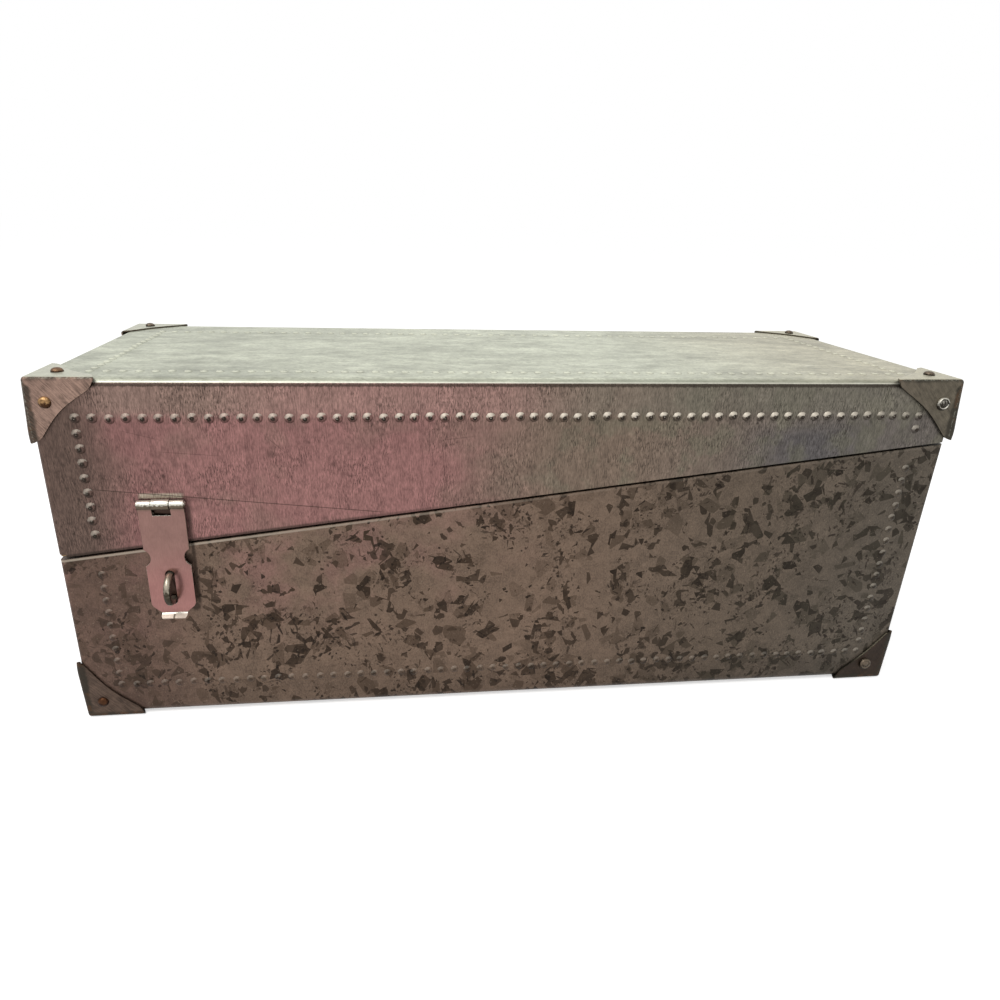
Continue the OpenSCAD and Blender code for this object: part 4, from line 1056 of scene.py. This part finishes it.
def sink_seat(cap):
    """Takes a shallow round seat for the flat nail out of the cap's level face."""
    bpy.ops.object.select_all(action="DESELECT")
    spot = (NAIL_INSET, NAIL_INSET, 0)
    bpy.ops.mesh.primitive_cylinder_add(
        vertices=32, radius=TACK_R + TACK_PLAY, depth=4 * TACK_SINK, location=spot
    )
    cutter = bpy.context.object
    modify(cap, "BOOLEAN", operation="DIFFERENCE", object=cutter, solver="EXACT")
    bpy.data.objects.remove(cutter)
    smooth(cap, 40)


def fit_caps():
    finish = cap_steel("cap_steel")
    for name, shape in CAPS.items():
        cap = pressed_cap("pressed_" + name, **shape)
        if name.startswith("base"):
            sink_seat(cap)
        set_down(cap, apex(corner_of(name)))
        fit(cap, finish, "cap_steel", name.split("_")[0], name)


# Nails

NAIL_R = 3.1
RING_R = 3.9
NAIL_H = 2.1
NAIL_SIDES = 20

# How far each crown is pushed over along x, the other way on left-hand caps, and along y
LEAN_X = 0.25
LEAN_Y = -0.15

# Profiles of the heads, as shares of the radius and of NAIL_H
DOME = [(1.0, -0.3), (1.0, 0.12), (0.93, 0.42), (0.76, 0.72), (0.5, 0.92), (0.22, 1.0), (0.06, 1.0)]
RING = [(1.0, -0.3), (1.0, 0.4), (0.9, 0.74), (0.74, 0.84), (0.6, 0.66), (0.4, 0.8), (0.1, 0.9)]
TACK = [(1.0, -0.2), (1.0, 0.0), (0.94, 0.03), (0.3, 0.0), (0.05, 0.0)]

# Tones of each nail metal in painted highlight and painted shade, and how far its crown is rubbed
METALS = {
    "brass": ((0.42, 0.25, 0.115), (0.042, 0.018, 0.008), 0.35),
    "rusty": ((0.17, 0.1, 0.058), (0.022, 0.011, 0.006), 0.5),
    "rust": ((0.075, 0.032, 0.015), (0.016, 0.006, 0.003), 0.5),
    "dark": ((0.14, 0.11, 0.08), (0.02, 0.015, 0.01), 0.5),
    "steel": ((0.66, 0.63, 0.55), (0.024, 0.02, 0.015), 0.05),
}

# Each front corner's front nail, from the end and from the top or bottom
FRONT_NAILS = {
    (-1, -1, 1): (9.6, 13.0),
    (1, -1, 1): (9.8, 14.4),
    (-1, -1, -1): (10.0, 11.0),
    (1, -1, -1): (14.0, 12.2),
}

# The metals of each front corner's nails, and those of the back corners
FRONT_METALS = {
    (-1, -1, 1): dict(front="brass", level="rusty", end="brass"),
    (1, -1, 1): dict(front="steel", level="dark", end="dark"),
    (-1, -1, -1): dict(front="rust", level="dark", end="rust"),
    (1, -1, -1): dict(front="dark", level="dark", end="dark"),
}
BACK_METALS = dict(front="dark", level="dark", end="rusty")


def turned(name, profile):
    """A shape of circles on the z axis, from (radius, height) pairs, closed at both ends."""
    bpy.ops.object.select_all(action="DESELECT")
    radius, height = profile[0]
    bpy.ops.mesh.primitive_circle_add(
        vertices=NAIL_SIDES, radius=radius, fill_type="NGON", location=(0, 0, height)
    )
    piece = open_piece(name)
    for wide, high in profile[1:]:
        bpy.ops.mesh.extrude_region_move(TRANSFORM_OT_translate={"value": (0, 0, high - height)})
        share = wide / radius
        bpy.ops.transform.resize(value=(share, share, 1), center_override=(0, 0, high))
        radius, height = wide, high
    bpy.ops.object.mode_set(mode="OBJECT")
    return piece


def proud_nail(name, shape, radius, lean):
    """A nail head on the z axis, its crown pushed over by lean along x and y."""
    head = turned(name, [(r * radius, h * NAIL_H) for r, h in shape])
    for vertex in head.data.vertices:
        high = max(vertex.co.z, 0) / NAIL_H
        vertex.co.x += lean[0] * high
        vertex.co.y += lean[1] * high
    smooth(head, 50)
    return head


def flat_nail(name):
    """A sunk nail head, its face a little below the cap's."""
    head = turned(name, [(r * TACK_R, h * NAIL_H - TACK_SINK) for r, h in TACK])
    smooth(head, 30)
    return head


def nail_places(corner):
    """Where the end, front or back, and level nails of a cap stand, with the way each one faces."""
    home = apex(corner)
    across, up = FRONT_NAILS.get(corner, (NAIL_INSET, NAIL_INSET))
    to_end = Matrix.Rotation(math.radians(-90), 4, "Y")
    to_front = Matrix.Rotation(math.radians(90), 4, "X")
    to_level = Matrix.Rotation(math.radians(180), 4, "X")
    return {
        "end": home @ Matrix.Translation((0, NAIL_INSET, NAIL_INSET)) @ to_end,
        "front": home @ Matrix.Translation((across, 0, up)) @ to_front,
        "level": home @ Matrix.Translation((NAIL_INSET, NAIL_INSET, 0)) @ to_level,
    }


def nail_head(name, corner, face):
    """Flat under the box, ringed on the fronts of the right-hand caps, and domed elsewhere."""
    if face == "level" and corner[2] < 0:
        return flat_nail(name)
    lean = (LEAN_X * corner[0], LEAN_Y)
    if face == "front" and corner[:2] == (1, -1):
        return proud_nail(name, RING, RING_R, lean)
    return proud_nail(name, DOME, NAIL_R, lean)


def fit_nails():
    metals = {name: nail_metal("nail_" + name, *tones) for name, tones in METALS.items()}
    for corner in [(s, d, v) for v in (-1, 1) for s in (-1, 1) for d in (-1, 1)]:
        body = "lid" if corner[2] > 0 else "base"
        depth = "front" if corner[1] < 0 else "back"
        side = "left" if corner[0] < 0 else "right"
        choice = FRONT_METALS.get(corner, BACK_METALS)
        for face, place in nail_places(corner).items():
            head = nail_head(f"{body}_{depth}_{side}_{face}_nail", corner, face)
            set_down(head, place)
            fit(head, metals[choice[face]], "nail_brass", body, f"{body}_cap_nails")


# Hasp

HASP_EASE = 0.15

# The knuckle of the hasp's leaf is rolled looser than the strap's
KNUCKLE_R = 2.45
KNUCKLE_SWELL = 1.17


def dress(finish, nodes):
    """Gives CAD nodes their material."""
    for node in nodes:
        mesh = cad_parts[node].data
        mesh.materials.clear()
        mesh.materials.append(finish)


def swell_knuckle(leaf):
    """Swells the round outside of the leaf's knuckle, away from the pin."""
    for vertex in leaf.data.vertices:
        out = vertex.co.y / MM - PIN_Y
        up = vertex.co.z / MM - PIN_Z
        if out < 0.5 and abs(math.hypot(out, up) - KNUCKLE_R) < 0.3:
            vertex.co.y = (PIN_Y + out * KNUCKLE_SWELL) * MM
            vertex.co.z = (PIN_Z + up * KNUCKLE_SWELL) * MM


def fit_hasp():
    plated = plated_steel("plated_steel", NICKEL_HIGHLIGHT, NICKEL_SHADE)
    dress(plated, [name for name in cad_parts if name.startswith(("hasp", "staple"))])
    dress(plated_steel("staple_steel", STAPLE_HIGHLIGHT, STAPLE_SHADE), ["padlock_staple"])
    for node, body in (("hasp_strap", "strap"), ("hasp_leaf", "lid"), ("staple_plate", "base")):
        piece = softened(node + "_eased", node, HASP_EASE)
        fit(piece, plated, "plated_steel", body, node)
        if node == "hasp_leaf":
            swell_knuckle(piece)


# Boards, sheets and hinges


def dress_box():
    names = list(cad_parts)
    boards = [name for name in names if name.endswith("_board")]
    end_boards = [name for name in boards if "_left_" in name or "_right_" in name]
    sheets = [name for name in names if name.endswith("_sheet")]
    dress(bare_timber("timber_along", 0), [name for name in boards if name not in end_boards])
    dress(bare_timber("timber_across", 1), end_boards)
    dress(brushed_sheet("brushed_lid"), [name for name in sheets if name.startswith("lid_")])
    dress(spangled_sheet("spangled_base"), [name for name in sheets if name.startswith("base_")])
    dress(hinge_steel("hinge_steel"), [name for name in names if name.startswith("hinge")])


set_camera()
set_world()
set_floor()
set_lights()
dress_box()
fit_hasp()
fit_caps()
fit_nails()
